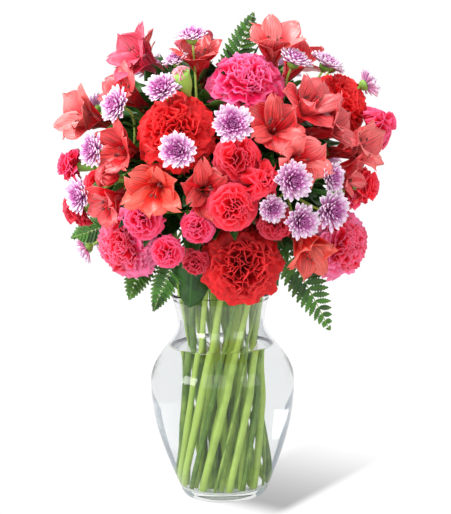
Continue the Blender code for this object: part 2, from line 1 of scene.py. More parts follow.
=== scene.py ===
"""Looks of a mixed carnation bouquet in a clear ginger vase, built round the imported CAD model.

Petals, leaves and stems are bmesh grids that a formula bends into shape. A flower is a pile of
such petals, set about its axis by the golden angle. Every flower stands where its CAD solid does:
the bouquet's dome is measured from the top of the vase.
"""

from __future__ import annotations

import logging
import math
from collections.abc import Callable, Iterable, Sequence
from dataclasses import dataclass, field, replace
from enum import Enum
from typing import NamedTuple

import bmesh
import bpy
import numpy as np
from mathutils import Matrix, Vector

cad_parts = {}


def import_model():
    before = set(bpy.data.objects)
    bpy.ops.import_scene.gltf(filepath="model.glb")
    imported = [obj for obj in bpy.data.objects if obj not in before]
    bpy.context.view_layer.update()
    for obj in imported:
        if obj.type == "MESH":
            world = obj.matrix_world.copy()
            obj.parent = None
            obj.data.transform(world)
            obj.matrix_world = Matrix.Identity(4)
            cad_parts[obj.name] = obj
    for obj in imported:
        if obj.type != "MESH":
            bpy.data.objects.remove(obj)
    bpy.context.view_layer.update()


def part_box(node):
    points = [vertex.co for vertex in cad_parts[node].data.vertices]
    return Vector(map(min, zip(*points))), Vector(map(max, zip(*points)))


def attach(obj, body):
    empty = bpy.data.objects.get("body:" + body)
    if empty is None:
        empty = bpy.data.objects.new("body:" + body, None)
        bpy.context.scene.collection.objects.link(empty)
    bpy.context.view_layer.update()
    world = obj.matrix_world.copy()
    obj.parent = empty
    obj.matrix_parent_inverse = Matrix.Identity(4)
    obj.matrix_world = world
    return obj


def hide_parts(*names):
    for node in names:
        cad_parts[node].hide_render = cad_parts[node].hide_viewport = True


LOG = logging.getLogger("bouquet")
MM = 0.001
GOLDEN = math.radians(137.508)
ROOT = "root"
CARNATION_SEED, MINI_SEED, LILY_SEED, MUM_SEED, FERN_SEED = 300, 500, 700, 900, 60
SEEDS_PER_SPRAY = 20
GLASS_INDEX, WATER_INDEX, LIP_INDEX = 1.46, 1.33, 1.16
Colour = tuple[float, float, float]
Levels = tuple[int, int, int]


class Slot(Enum):
    """The record's material slots."""

    GLASS = "glass"
    WATER = "water"
    STEM = "stem"
    LEAF = "leaf"
    FERN = "fern"
    PINK = "pink_petals"
    RED = "red_petals"
    CORAL = "coral_petals"
    SALMON = "salmon_petals"
    LAVENDER = "lavender_petals"


def srgb(red: int, green: int, blue: int) -> Colour:
    """Turns a display colour into the linear one that shaders take."""

    def linear(value: int) -> float:
        part = value / 255
        return part / 12.92 if part <= 0.04045 else ((part + 0.055) / 1.055) ** 2.4

    return (linear(red), linear(green), linear(blue))


def ease(value: float, low: float, high: float) -> float:
    """Smooth step from 0 at low to 1 at high."""
    t = min(1.0, max(0.0, (value - low) / (high - low)))
    return t * t * (3 - 2 * t)


def mix(a: float, b: float, t: float) -> float:
    """The value a share t of the way from a to b."""
    return a + (b - a) * t


def mesh_of(name: str, bm: bmesh.types.BMesh) -> bpy.types.Mesh:
    """Turns a bmesh into a mesh and frees it."""
    mesh = bpy.data.meshes.new(name)
    bm.to_mesh(mesh)
    bm.free()
    return mesh


# ---------------------------------------------------------------- finishes


class NodeTree:
    """Short ways to add and link shader nodes."""

    def __init__(self, tree: bpy.types.NodeTree) -> None:
        """Starts on an empty tree."""
        self.tree = tree
        tree.nodes.clear()

    def node(self, kind: str, **inputs: object) -> bpy.types.Node:
        """Adds a node and sets or links its inputs.

        Args:
            kind: the node's type, without the ShaderNode in front.
            **inputs: a value or a socket for each input, with _ for a space. An input i0, i1 is
                taken by its place, and a name in lower case is set on the node itself.

        Returns:
            The new node.
        """
        prefix = "" if kind.startswith("Node") else "ShaderNode"
        made = self.tree.nodes.new(prefix + kind)
        for name, value in inputs.items():
            if name[0].islower() and not (name[0] == "i" and name[1:].isdigit()):
                setattr(made, name, value)
        for name, value in inputs.items():
            if name[0] == "i" and name[1:].isdigit():
                socket = made.inputs[int(name[1:])]
            elif name[0].isupper():
                socket = made.inputs[name.replace("_", " ")]
            else:
                continue
            if isinstance(value, bpy.types.NodeSocket):
                self.tree.links.new(value, socket)
            else:
                socket.default_value = value
        return made

    def math(self, operation: str, a: object, b: object = 0.0) -> bpy.types.NodeSocket:
        """A Math node's result."""
        return self.node("Math", operation=operation, i0=a, i1=b).outputs[0]

    def ramp(self, value: object, low: object, high: object) -> bpy.types.NodeSocket:
        """A smooth step of a value between two limits."""
        made = self.node(
            "MapRange", interpolation_type="SMOOTHSTEP", Value=value, From_Min=low, From_Max=high
        )
        return made.outputs[0]

    def blend(
        self, factor: object, a: object, b: object, kind: str = "MIX"
    ) -> bpy.types.NodeSocket:
        """A colour Mix node's result."""
        made = self.node("Mix", data_type="RGBA", blend_type=kind, i0=factor, i6=a, i7=b)
        return made.outputs[2]

    def attribute(self, name: str) -> bpy.types.NodeSocket:
        """A number that the mesh carries on its points."""
        return self.node("Attribute", attribute_name=name).outputs["Fac"]


def blank(name: str) -> tuple[bpy.types.Material, NodeTree]:
    """A new material and its empty node tree."""
    made = bpy.data.materials.new(name)
    made.use_nodes = True
    return made, NodeTree(made.node_tree)


class Skin(NamedTuple):
    """The start of a skin: its node group, what it is given and what the mesh carries."""

    tree: NodeTree
    given: bpy.types.NodeOutputs
    along: bpy.types.NodeSocket
    across: bpy.types.NodeSocket
    tint: bpy.types.NodeSocket
    place: bpy.types.NodeSocket


def start_skin(name: str, inputs: dict[str, object]) -> Skin:
    """Makes the node group of a skin, which gives a colour and a height.

    Args:
        name: the group's name.
        inputs: each input's default, a number or a colour of four numbers.

    Returns:
        The group's start.
    """
    made = bpy.data.node_groups.new(name, "ShaderNodeTree")
    for key, default in inputs.items():
        kind = "NodeSocketFloat" if isinstance(default, float) else "NodeSocketColor"
        socket = made.interface.new_socket(name=key, in_out="INPUT", socket_type=kind)
        socket.default_value = default
    for key, kind in (("Color", "NodeSocketColor"), ("Height", "NodeSocketFloat")):
        made.interface.new_socket(name=key, in_out="OUTPUT", socket_type=kind)
    t = NodeTree(made)
    given = t.node("NodeGroupInput").outputs
    along, across, tint = (t.attribute(n) for n in ("along", "across", "tint"))
    return Skin(t, given, along, across, tint, t.node("TexCoord").outputs["Object"])


def petal_skin() -> bpy.types.NodeTree:
    """A petal's colour from its claw to its margin, with streaks along it and a tint of its own."""
    white = (1.0, 1.0, 1.0, 1.0)
    t, given, along, across, tint, place = start_skin("petal_skin", {
        "Claw": white, "Blade": white, "Margin": white, "Claw End": 0.4, "Margin Start": 0.7,
        "Streaks": 0.3, "Spread": 0.25, "Flecks": 0.0, "Fleck Colour": white,
    })
    where = t.node("CombineXYZ", X=t.math("MULTIPLY", across, 9.0), Y=along,
                   Z=t.math("MULTIPLY", tint, 37.0)).outputs[0]
    streak = t.node("TexNoise", Vector=where, Scale=2.2, Detail=3.0, Roughness=0.6).outputs[0]
    cloud = t.node("TexNoise", Vector=place, Scale=90.0, Detail=2.0).outputs[0]
    wander = t.math("MULTIPLY", t.math("SUBTRACT", cloud, 0.5), 0.28)
    height = t.math("ADD", along, wander)
    colour = t.blend(t.ramp(height, 0.0, given["Claw End"]), given["Claw"], given["Blade"])
    colour = t.blend(t.ramp(height, given["Margin Start"], 1.04), colour, given["Margin"])
    vein = t.math("SUBTRACT", t.ramp(streak, 0.36, 0.64), 0.5)
    shade = t.math("MULTIPLY", t.math("MULTIPLY", vein, 0.55), given["Streaks"])
    own = t.math("MULTIPLY", t.math("SUBTRACT", tint, 0.5), given["Spread"])
    level = t.math("ADD", t.math("ADD", shade, own), 1.0)
    colour = t.blend(1.0, colour, t.node("CombineColor", i0=level, i1=level, i2=level).outputs[0],
                     "MULTIPLY")
    dashes = t.node("CombineXYZ", X=t.math("MULTIPLY", across, 7.0),
                    Y=t.math("MULTIPLY", along, 5.0), Z=t.math("MULTIPLY", tint, 11.0)).outputs[0]
    dash = t.node("TexVoronoi", Vector=dashes, Scale=1.5, Randomness=0.9).outputs["Distance"]
    band = t.math("MULTIPLY", t.ramp(along, 0.12, 0.3), t.ramp(along, 0.85, 0.6))
    fleck = t.math("MULTIPLY", t.ramp(dash, 0.36, 0.24), band)
    colour = t.blend(t.math("MULTIPLY", fleck, given["Flecks"]), colour, given["Fleck Colour"])
    t.node("NodeGroupOutput", Color=colour, Height=streak)
    return t.tree


def leaf_skin() -> bpy.types.NodeTree:
    """A leaf's or stem's green: two greens in patches, a paler midrib and fine ribs."""
    green = (0.1, 0.3, 0.1, 1.0)
    t, given, along, across, tint, place = start_skin("leaf_skin", {
        "Dark": green, "Light": green, "Midrib": 0.5, "Tip": 0.0, "Tip Colour": green,
    })
    cloud = t.node("TexNoise", Vector=place, Scale=45.0, Detail=4.0, Roughness=0.65).outputs[0]
    level = t.math("ADD", t.math("MULTIPLY", cloud, 0.9), t.math("MULTIPLY", tint, 0.55))
    colour = t.blend(t.ramp(level, 0.3, 1.0), given["Dark"], given["Light"])
    rib = t.ramp(t.math("ABSOLUTE", across), 0.10, 0.0)
    colour = t.blend(t.math("MULTIPLY", rib, given["Midrib"]), colour, given["Light"])
    colour = t.blend(t.math("MULTIPLY", t.ramp(along, 0.45, 1.0), given["Tip"]), colour,
                     given["Tip Colour"])
    rows = t.node("CombineXYZ", X=t.math("MULTIPLY", across, 6.0), Y=along,
                  Z=tint).outputs[0]
    fine = t.node("TexNoise", Vector=rows, Scale=5.0, Detail=2.0).outputs[0]
    t.node("NodeGroupOutput", Color=colour, Height=fine)
    return t.tree


SKINS: dict[str, bpy.types.NodeTree] = {}


@dataclass(frozen=True)
class Finish:
    """A finish that reads one of the two skins."""

    name: str
    skin: str
    values: dict[str, object]
    roughness: float = 0.55
    subsurface: float = 0.15
    sheen: float = 0.05
    bump: float = 0.25
    gloss: float = 0.35

    def material(self) -> bpy.types.Material:
        """Makes the material, or returns it if it is made already."""
        known = bpy.data.materials.get(self.name)
        if known:
            return known
        made, t = blank(self.name)
        skin = t.node("Group", node_tree=SKINS[self.skin])
        for key, value in self.values.items():
            skin.inputs[key].default_value = (*value, 1.0) if isinstance(value, tuple) else value
        relief = t.node("Bump", Height=skin.outputs["Height"], Strength=self.bump, Distance=0.0004)
        shader = t.node(
            "BsdfPrincipled", Base_Color=skin.outputs["Color"], Roughness=self.roughness,
            Normal=relief.outputs[0], Subsurface_Weight=self.subsurface,
            Subsurface_Radius=(0.004, 0.002, 0.002), Subsurface_Scale=0.6, Sheen_Weight=self.sheen,
            Sheen_Roughness=0.4, Specular_IOR_Level=self.gloss,
        )
        t.node("OutputMaterial", Surface=shader.outputs[0])
        return made


def petals(
    name: str, claw: Levels, blade: Levels, margin: Levels, claw_end: float = 0.4,
    margin_start: float = 0.7, streaks: float = 0.3, spread: float = 0.25,
) -> Finish:
    """A petal finish from its three display colours and the skin's other values."""
    return Finish(name, "petal", {
        "Claw": srgb(*claw), "Blade": srgb(*blade), "Margin": srgb(*margin),
        "Claw End": claw_end, "Margin Start": margin_start, "Streaks": streaks, "Spread": spread,
    })


def satin(*row: object) -> Finish:
    """A smoother petal finish, for the alstroemerias."""
    return replace(petals(*row), roughness=0.36, gloss=0.6, bump=0.4)


def flecked(finish: Finish) -> Finish:
    """An alstroemeria's finish for its narrow tepals: paler, with dark dashes."""
    pale = {"Blade": finish.values["Margin"], "Flecks": 0.75, "Fleck Colour": FLECK}
    return replace(finish, name=finish.name + "_flecked", values=finish.values | pale)


def greens(name: str, dark: Colour, light: Colour, roughness: float, **values: object) -> Finish:
    """A leaf or stem finish from its two greens and the skin's other values."""
    skin = {"Dark": dark, "Light": light}
    skin |= {key.replace("_", " "): value for key, value in values.items()}
    return Finish(name, "leaf", skin, roughness, 0.06, 0.0, 0.35)


RED = petals("carnation_red", (172, 0, 12), (226, 10, 22), (240, 42, 44), 0.62, 0.9)
DEEP_RED = petals("carnation_deep_red", (110, 0, 8), (212, 6, 18), (238, 34, 38), 0.5, 0.88)
HOT_PINK = petals("carnation_hot_pink", (226, 8, 66), (252, 28, 104), (255, 108, 160), 0.6, 0.88)
ROSE = petals("carnation_rose", (238, 22, 62), (252, 56, 116), (255, 126, 172), 0.62, 0.78)
ROSE_CREST = petals(
    "carnation_rose_crest", (220, 10, 34), (250, 44, 72), (255, 112, 150), 0.62, 0.86
)
RED_CREST = petals("carnation_red_crest", (96, 0, 8), (190, 8, 20), (236, 46, 50), 0.7, 0.9)
PINK_CREST = petals(
    "carnation_pink_crest", (190, 6, 44), (244, 34, 96), (255, 116, 172), 0.64, 0.86
)
CORAL = petals("mini_coral", (196, 6, 24), (242, 26, 46), (250, 72, 98), 0.55, 0.86)
MINI_PINK = petals("mini_pink", (206, 10, 42), (246, 34, 78), (255, 96, 146), 0.5, 0.86)
TIP_PINK = petals("bud_tip", (170, 200, 110), (230, 190, 180), (246, 150, 170))
MINI_RED = petals("mini_red", (120, 2, 18), (206, 18, 44), (238, 70, 96), 0.6, 0.84)
GLASS_TINT, WATER_TINT = (0.895, 0.902, 0.908), (0.985, 0.995, 0.985)
FLECK = srgb(110, 8, 34)
LILY_CORAL = satin("lily_coral", (150, 8, 22), (220, 28, 42), (240, 96, 100), 0.5, 0.66, 1.5, 0.5)
LILY_ORANGE = satin("lily_orange", (150, 14, 16), (224, 38, 34), (240, 92, 78), 0.5, 0.66, 1.5, 0.5)
LILY_SALMON = satin(
    "lily_salmon", (168, 18, 28), (222, 46, 56), (242, 114, 112), 0.5, 0.6, 1.5, 0.5
)
LILY_ROSE = satin("lily_rose", (244, 130, 150), (228, 48, 84), (236, 84, 112), 0.6, 0.65, 1.6, 0.4)
LILY_DARK = satin("lily_dark", (130, 6, 16), (204, 20, 32), (226, 76, 76), 0.45, 0.72, 1.8, 0.4)
MUM = petals("mum_lavender", (170, 74, 150), (230, 164, 214), (255, 240, 252), 0.66, 0.6, 1.0, 0.3)
MUM_INNER = petals(
    "mum_inner", (130, 40, 110), (202, 100, 176), (248, 206, 238), 0.6, 0.74, 0.9, 0.4
)
MUM_HEART = petals("mum_heart", (70, 14, 54), (150, 50, 122), (210, 120, 186), 0.6, 0.8, 0.4, 0.4)
ANTHER = petals("anther", (150, 70, 60), (120, 60, 56), (110, 60, 60))
STEM = greens("cut_stem", srgb(74, 112, 34), srgb(178, 208, 96), 0.38, Midrib=0.0)
CALYX = greens("calyx_green", srgb(78, 126, 40), srgb(154, 200, 88), 0.45, Midrib=0.1)
LEAF = greens("leaf_green", srgb(12, 38, 12), srgb(60, 112, 42), 0.34, Midrib=0.6)
FERN = greens("fern_green", srgb(16, 50, 14), srgb(66, 124, 36), 0.36, Midrib=0.5,
              Tip=0.35, Tip_Colour=srgb(120, 168, 72))


CRESTS = {
    RED.name: RED, DEEP_RED.name: RED_CREST, HOT_PINK.name: PINK_CREST, ROSE.name: ROSE_CREST,
    CORAL.name: CORAL, MINI_PINK.name: MINI_PINK, TIP_PINK.name: TIP_PINK, MINI_RED.name: MINI_RED,
}


# ---------------------------------------------------------------- petals and leaves

Shape = Callable[[float, float], Vector]


def sheet(name: str, columns: int, rows: int, shape: Shape) -> bpy.types.Mesh:
    """A grid bent into a petal or leaf.

    Args:
        name: the mesh's name.
        columns: faces across it.
        rows: faces along it.
        shape: gives the place of a point from across (-1 to 1) and along (0 to 1).

    Returns:
        A mesh whose points carry across and along.
    """
    bm = bmesh.new()
    bmesh.ops.create_grid(bm, x_segments=columns, y_segments=rows, size=1.0)
    across = bm.verts.layers.float.new("across")
    along = bm.verts.layers.float.new("along")
    for v in bm.verts:
        u, w = v.co.x, (v.co.y + 1) / 2
        v[across], v[along] = u, w
        v.co = shape(u, w)
    return mesh_of(name, bm)


class Pile:
    """Gathers petals, leaves and stems of one piece into one mesh."""

    def __init__(self) -> None:
        """Starts empty."""
        self.bm = bmesh.new()
        for name in ("across", "along", "tint"):
            self.bm.verts.layers.float.new(name)

    def add(self, mesh: bpy.types.Mesh, matrix: Matrix, tint: float = 0.5, index: int = 0) -> None:
        """Adds a copy of a mesh.

        Args:
            mesh: what is added.
            matrix: its place.
            tint: its own tint, 0 to 1.
            index: the material slot of its faces.
        """
        verts, faces = len(self.bm.verts), len(self.bm.faces)
        self.bm.from_mesh(mesh)
        self.bm.verts.ensure_lookup_table()
        self.bm.faces.ensure_lookup_table()
        new = self.bm.verts[verts:]
        bmesh.ops.transform(self.bm, matrix=matrix, verts=new)
        layer = self.bm.verts.layers.float["tint"]
        for v in new:
            v[layer] = tint
        for f in self.bm.faces[faces:]:
            f.material_index = index
            f.smooth = True

    def piece(
        self, name: str, finishes: Sequence[Finish], slot: Slot, nodes: Iterable[str],
        thickness: float = 0.0,
    ) -> bpy.types.Object:
        """Args:
            name: the piece's name.
            finishes: one for each material slot.
            slot: the record's slot. It is not used.
            nodes: the CAD nodes it stands for.
            thickness: a sheet's thickness, or 0 for closed meshes.

        Returns:
            The new object.
        """
        mesh = mesh_of(name, self.bm)
        for finish in finishes:
            mesh.materials.append(finish.material())
        return declare(name, mesh, slot, nodes, thickness)


def declare(
    name: str, mesh: bpy.types.Mesh, slot: Slot, nodes: Iterable[str], thickness: float = 0.0
) -> bpy.types.Object:
    """Puts a finished mesh in the scene as a piece of the bouquet."""
    made = bpy.data.objects.new(name, mesh)
    bpy.context.scene.collection.objects.link(made)
    if thickness:
        shell = made.modifiers.new("thickness", "SOLIDIFY")
        shell.thickness = thickness
        shell.offset = 0.0
    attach(made, ROOT)
    nodes = list(nodes)
    if nodes:
        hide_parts(*nodes)
    LOG.info("%s: %d faces", name, len(mesh.polygons))
    return made


def frame_at(place: Vector, along: Vector, up: Vector) -> Matrix:
    """A matrix whose Y runs along a petal and whose Z is its upper face."""
    y = along.normalized()
    x = y.cross(up).normalized()
    z = x.cross(y)
    turn = Matrix((x, y, z)).transposed().to_4x4()
    return Matrix.Translation(place) @ turn


def basis(axis: Vector) -> tuple[Vector, Vector]:
    """Two directions square to an axis and to each other."""
    side = axis.cross(Vector((0, 0, 1)))
    if side.length < 0.1:
        side = axis.cross(Vector((0, 1, 0)))
    side.normalize()
    return side, axis.cross(side).normalized()


def spoke(axis: Vector, turn: float) -> Vector:
    """The direction square to an axis at a turn about it."""
    x, y = basis(axis)
    return x * math.cos(turn) + y * math.sin(turn)


def petal_face(line: Vector, axis: Vector, out: Vector) -> Vector:
    """The upper face's direction of a petal that runs along a line and leans out from an axis."""
    return (axis * line.dot(out) - out * line.dot(axis)).normalized()


# ---------------------------------------------------------------- where everything stands


class Bloom(NamedTuple):
    """A bloom's place on the dome, the way it faces and its size as a share of its form."""

    bearing: float
    elevation: float
    reach: float
    faces_bearing: float
    faces_elevation: float
    size: float
    finish: Finish | None = None


def outward(
    bearing: float, elevation: float, reach: float, size: float, finish: Finish | None = None
) -> Bloom:
    """A bloom that faces straight out from the dome's middle."""
    return Bloom(bearing, elevation, reach, bearing, elevation, size, finish)


class Form(NamedTuple):
    """A bloom's radius, its rise above its middle and its depth below it, in metres."""

    radius: float
    rise: float
    under: float


class Ring(NamedTuple):
    """A ring of stems: its share of the neck and of the floor, its turn and where it starts."""

    neck_share: float
    floor_share: float
    twist: float
    start: float


class Spray(NamedTuple):
    """A branched stem: its ring, its hub on the dome, its open blooms and its buds."""

    ring: str
    hub: tuple[float, float, float]
    blooms: tuple[Bloom, ...]
    buds: tuple[Bloom, ...] = ()


class Frond(NamedTuple):
    """A fern frond: its ring, its root and tip on the dome, its width share and its sag."""

    ring: str
    root: tuple[float, float, float]
    tip: tuple[float, float, float]
    width: float
    droop: float


RINGS = {
    "outer": Ring(0.98, 0.96, -70, -199.4),
    "middle": Ring(0.64, 0.60, -90, -143.4),
    "inner": Ring(0.28, 0.27, 55, -34.7),
}

CARNATIONS = {
    "pink_top": ("inner", Bloom(22, 48, 0.75, 16, 48, 1.04, HOT_PINK)),
    "pink_left": ("outer", Bloom(-63, -33, 0.78, -38, -4, 1.02, ROSE)),
    "pink_right": ("outer", Bloom(77, -31, 0.92, 42, -2, 1.0, ROSE)),
    "red_upper": ("middle", Bloom(-20, 22, 0.76, -14, 20, 1.05, RED)),
    "red_front": ("outer", Bloom(14, -42, 0.79, 8, 6, 1.08, DEEP_RED)),
    "red_right": ("inner", Bloom(84, 28, 0.90, 60, 34, 0.92, RED)),
    "red_back": ("outer", Bloom(150, -20, 0.79, 150, -2, 1.0, RED)),
    "pink_back": ("outer", Bloom(-140, -20, 0.79, -140, -2, 1.0, HOT_PINK)),
}

MINI_CARNATIONS = {
    "centre": Spray("middle", (10, -2, 0.52), (
        Bloom(6, -10, 0.87, 4, -6, 1.28, CORAL),
        Bloom(9, 9, 0.82, 8, 12, 1.25, CORAL),
        Bloom(28, -20, 0.80, 24, -12, 1.0, MINI_RED),
    ), (
        Bloom(17, 0, 0.90, 20, 4, 1.2, CORAL),
        Bloom(-15, 39, 0.94, -22, 50, 1.1, TIP_PINK),
    )),
    "left": Spray("outer", (-18, -24, 0.52), (
        Bloom(-30, -14, 0.93, -22, -6, 1.05, MINI_PINK),
        Bloom(-22, -27, 0.93, -14, -12, 0.88, MINI_PINK),
        Bloom(-9, -19, 0.85, -6, -14, 0.88, MINI_PINK),
        Bloom(-14, -40, 0.80, -12, -20, 0.75, MINI_RED),
    )),
    "side_left": Spray("outer", (-98, -6, 0.55), (
        Bloom(-83, -14, 0.95, -80, -14, 1.0, MINI_RED),
        Bloom(-85, 3, 0.95, -96, 4, 1.0, MINI_PINK),
        outward(-114, -8, 0.92, 1.0, CORAL),
    )),
    "side_right": Spray("outer", (112, -12, 0.58), (
        Bloom(74, -6, 0.97, 88, -8, 1.0, CORAL),
        outward(106, -13, 0.94, 1.0, MINI_PINK),
    ), (
        Bloom(81, 15, 1.08, 76, 26, 1.25, MINI_PINK),
    )),
}

ALSTROEMERIAS = {
    "top_left": Spray("inner", (-42, 52, 0.50), (
        Bloom(-58, 53, 0.90, -48, 26, 1.1, LILY_ROSE),
        Bloom(-57, 38, 0.82, -46, 34, 1.0, LILY_CORAL),
        Bloom(-14, 60, 0.81, -2, 66, 1.0, LILY_DARK),
    )),
    "left": Spray("middle", (-62, 14, 0.50), (
        Bloom(-85, 23, 0.90, -50, 12, 1.15, LILY_SALMON),
        Bloom(-45, 12, 0.81, -42, 10, 1.05, LILY_DARK),
    ), (
        Bloom(-46, 2, 0.90, -60, 20, 1.1, LILY_CORAL),
    )),
    "centre_left": Spray("outer", (-26, -5, 0.48), (
        Bloom(-24, -2, 0.87, -12, -4, 1.15, LILY_ORANGE),
        Bloom(-46, -8, 0.90, -40, -22, 0.9, LILY_CORAL),
        Bloom(-6, -4, 0.77, 4, 4, 1.0, LILY_DARK),
    )),
    "right": Spray("middle", (38, 18, 0.48), (
        Bloom(42, 27, 0.90, 34, 34, 1.15, LILY_CORAL),
        Bloom(26, 21, 0.83, 8, 22, 1.05, LILY_DARK),
        Bloom(52, 18, 0.91, 60, 14, 1.1, LILY_CORAL),
        Bloom(32, 7, 0.88, 20, -4, 1.1, LILY_SALMON),
    )),
    "side_right": Spray("outer", (58, -8, 0.50), (
        Bloom(67, 9, 0.93, 56, 10, 1.15, LILY_SALMON),
        Bloom(62, 0, 0.88, 64, -16, 0.9, LILY_CORAL),
        Bloom(41, -28, 0.90, 36, -34, 1.1, LILY_ORANGE),
    )),
    "top": Spray("inner", (84, 62, 0.50), (
        Bloom(46, 57, 0.91, 8, 62, 1.1, LILY_SALMON),
        outward(112, 50, 0.87, 1.1, LILY_CORAL),
        outward(-165, 58, 0.86, 1.1, LILY_ROSE),
        outward(-110, 54, 0.88, 1.0, LILY_CORAL),
    )),
    "back": Spray("middle", (178, 16, 0.50), (
        outward(180, 4, 0.88, 1.1, LILY_CORAL),
        outward(165, 30, 0.87, 1.1, LILY_SALMON),
        outward(-162, 28, 0.88, 1.1, LILY_ORANGE),
        outward(-175, -20, 0.88, 1.1, LILY_ROSE),
    )),
}

MUMS = {
    "top": Spray("inner", (-16, 36, 0.50), (
        Bloom(-17, 61, 0.97, -10, 66, 1.0),
        Bloom(-24, 35, 0.94, -20, 42, 1.1),
        Bloom(-29, 55, 0.86, -34, 60, 0.8),
        Bloom(-13, 11, 1.0, -14, 10, 1.1),
        Bloom(6, 20, 0.97, 4, 16, 1.15),
    )),
    "left": Spray("outer", (-58, 4, 0.60), (
        Bloom(-45, 28, 0.95, -50, 18, 1.15),
        Bloom(-52, 11, 0.96, -50, 8, 1.1),
        Bloom(-56, -5, 1.01, -50, 2, 1.15),
        Bloom(-81, -29, 1.0, -85, -30, 0.9),
    )),
    "top_right": Spray("middle", (72, 38, 0.54), (
        Bloom(46, 46, 0.96, 50, 58, 1.05),
        Bloom(76, 43, 0.98, 70, 60, 1.05),
        Bloom(85, 29, 1.10, 108, 22, 1.0),
        Bloom(94, 40, 1.0, 70, 44, 0.7),
    )),
    "right": Spray("outer", (36, -8, 0.70), (
        Bloom(26, 0, 0.99, 24, 6, 1.15),
        Bloom(43, 0, 0.99, 46, 2, 0.95),
        Bloom(20, -10, 0.93, 16, -6, 0.85),
        Bloom(30, -14, 1.0, 26, -6, 1.1),
        Bloom(42, -11, 1.02, 40, 2, 1.2),
    )),
    "back_left": Spray("middle", (-134, 20, 0.55), (
        outward(-112, 24, 0.98, 1.1),
        outward(-130, 3, 1.0, 1.1),
        outward(-148, 20, 0.98, 1.1),
        outward(-138, 44, 0.96, 1.1),
        outward(-160, -1, 1.0, 1.0),
        outward(-108, -32, 0.95, 1.1),
    )),
    "back_right": Spray("middle", (142, 18, 0.55), (
        outward(116, 20, 0.98, 1.1),
        outward(130, 2, 1.0, 1.1),
        outward(148, 18, 0.98, 1.1),
        outward(138, 42, 0.96, 1.1),
        outward(160, 3, 1.0, 1.0),
        outward(112, -38, 0.95, 1.1),
    )),
}

FERNS = {
    "top": Frond("inner", (150, 80, 0.50), (84, 76, 1.02), 0.8, 0.0),
    "left": Frond("outer", (-104, -28, 0.72), (-98, -24, 1.08), 0.8, 0.0),
    "low_left": Frond("outer", (-94, -46, 0.62), (-77, -52, 0.98), 0.8, 0.1),
    "low_front": Frond("outer", (-38, -50, 0.62), (-56, -58, 0.97), 0.7, 0.1),
    "low_right": Frond("outer", (62, -46, 0.62), (73, -51.5, 1.17), 1.0, 0.2),
    "back": Frond("outer", (178, -44, 0.62), (178, -40, 1.10), 1.0, 0.1),
}


def way(bearing: float, elevation: float) -> Vector:
    """The unit vector of a bearing and an elevation in degrees."""
    b, e = math.radians(bearing), math.radians(elevation)
    return Vector((math.sin(b) * math.cos(e), -math.cos(b) * math.cos(e), math.sin(e)))


@dataclass
class Dome:
    """The dome that every bloom is placed on, and the lanes in which the stems cross the neck."""

    vase_top: float
    heart_over_rim: float = 119 * MM
    radius: float = 150 * MM
    neck_height: float = 172 * MM
    neck_free: float = 35.9 * MM
    foot_height: float = 10.4 * MM
    feet: dict[str, tuple[Vector, Vector]] = field(default_factory=dict)

    def __post_init__(self) -> None:
        """Gives every stem its lane."""
        self.feet = self.lanes()

    def spot(self, bearing: float, elevation: float, reach: float) -> Vector:
        """A place on the dome."""
        heart = Vector((0, 0, self.vase_top + self.heart_over_rim))
        return heart + way(bearing, elevation) * reach * self.radius

    def lane(self, ring_name: str, rank: int, count: int) -> tuple[Vector, Vector]:
        """Where a stem stands on the floor and where it crosses the neck."""
        ring = RINGS[ring_name]
        bearing = ring.start + 360 * rank / count
        neck = way(bearing, 0) * self.neck_free * ring.neck_share
        foot = way(bearing + ring.twist, 0) * self.neck_free * ring.floor_share
        neck.z, foot.z = self.neck_height, self.foot_height
        return foot, neck

    def lanes(self) -> dict[str, tuple[Vector, Vector]]:
        """Each stem's foot and neck. In each ring the stems keep the order of their bearings."""
        wanted: dict[str, list[tuple[float, str]]] = {}
        for name, (ring, bloom) in CARNATIONS.items():
            wanted.setdefault(ring, []).append((bloom.bearing, f"carnation_{name}"))
        for kind, sprays in (
            ("mini_carnation", MINI_CARNATIONS), ("alstroemeria", ALSTROEMERIAS), ("mum", MUMS),
        ):
            for name, spray in sprays.items():
                wanted.setdefault(spray.ring, []).append((spray.hub[0], f"{kind}_{name}"))
        for name, frond in FERNS.items():
            wanted.setdefault(frond.ring, []).append((frond.root[0], f"fern_{name}"))
        return {
            stem: self.lane(ring, rank, len(stems))
            for ring, stems in wanted.items()
            for rank, (_, stem) in enumerate(sorted(stems))
        }

    def stem_route(self, stem: str, end: Vector, end_way: Vector) -> list[Vector]:
        """The way of a stem: straight from the floor to the rim, then one bend to its flowers."""
        foot, neck = self.feet[stem]
        over = foot + (neck - foot) * (self.vase_top - foot.z) / (neck.z - foot.z)
        straight = [foot.lerp(over, i / 9) for i in range(10)]
        return straight + bend(over, over - foot, end, end_way, 14)


def bend(
    start: Vector, start_way: Vector, end: Vector, end_way: Vector, steps: int, pull: float = 0.4
) -> list[Vector]:
    """Points of one smooth curve that leaves start and reaches end along the ways given."""
    reach = (end - start).length * pull
    a, b = start + start_way.normalized() * reach, end - end_way.normalized() * reach
    points = []
    for i in range(1, steps + 1):
        t = i / steps
        s = 1 - t
        points.append(start * s**3 + a * (3 * s * s * t) + b * (3 * s * t * t) + end * t**3)
    return points


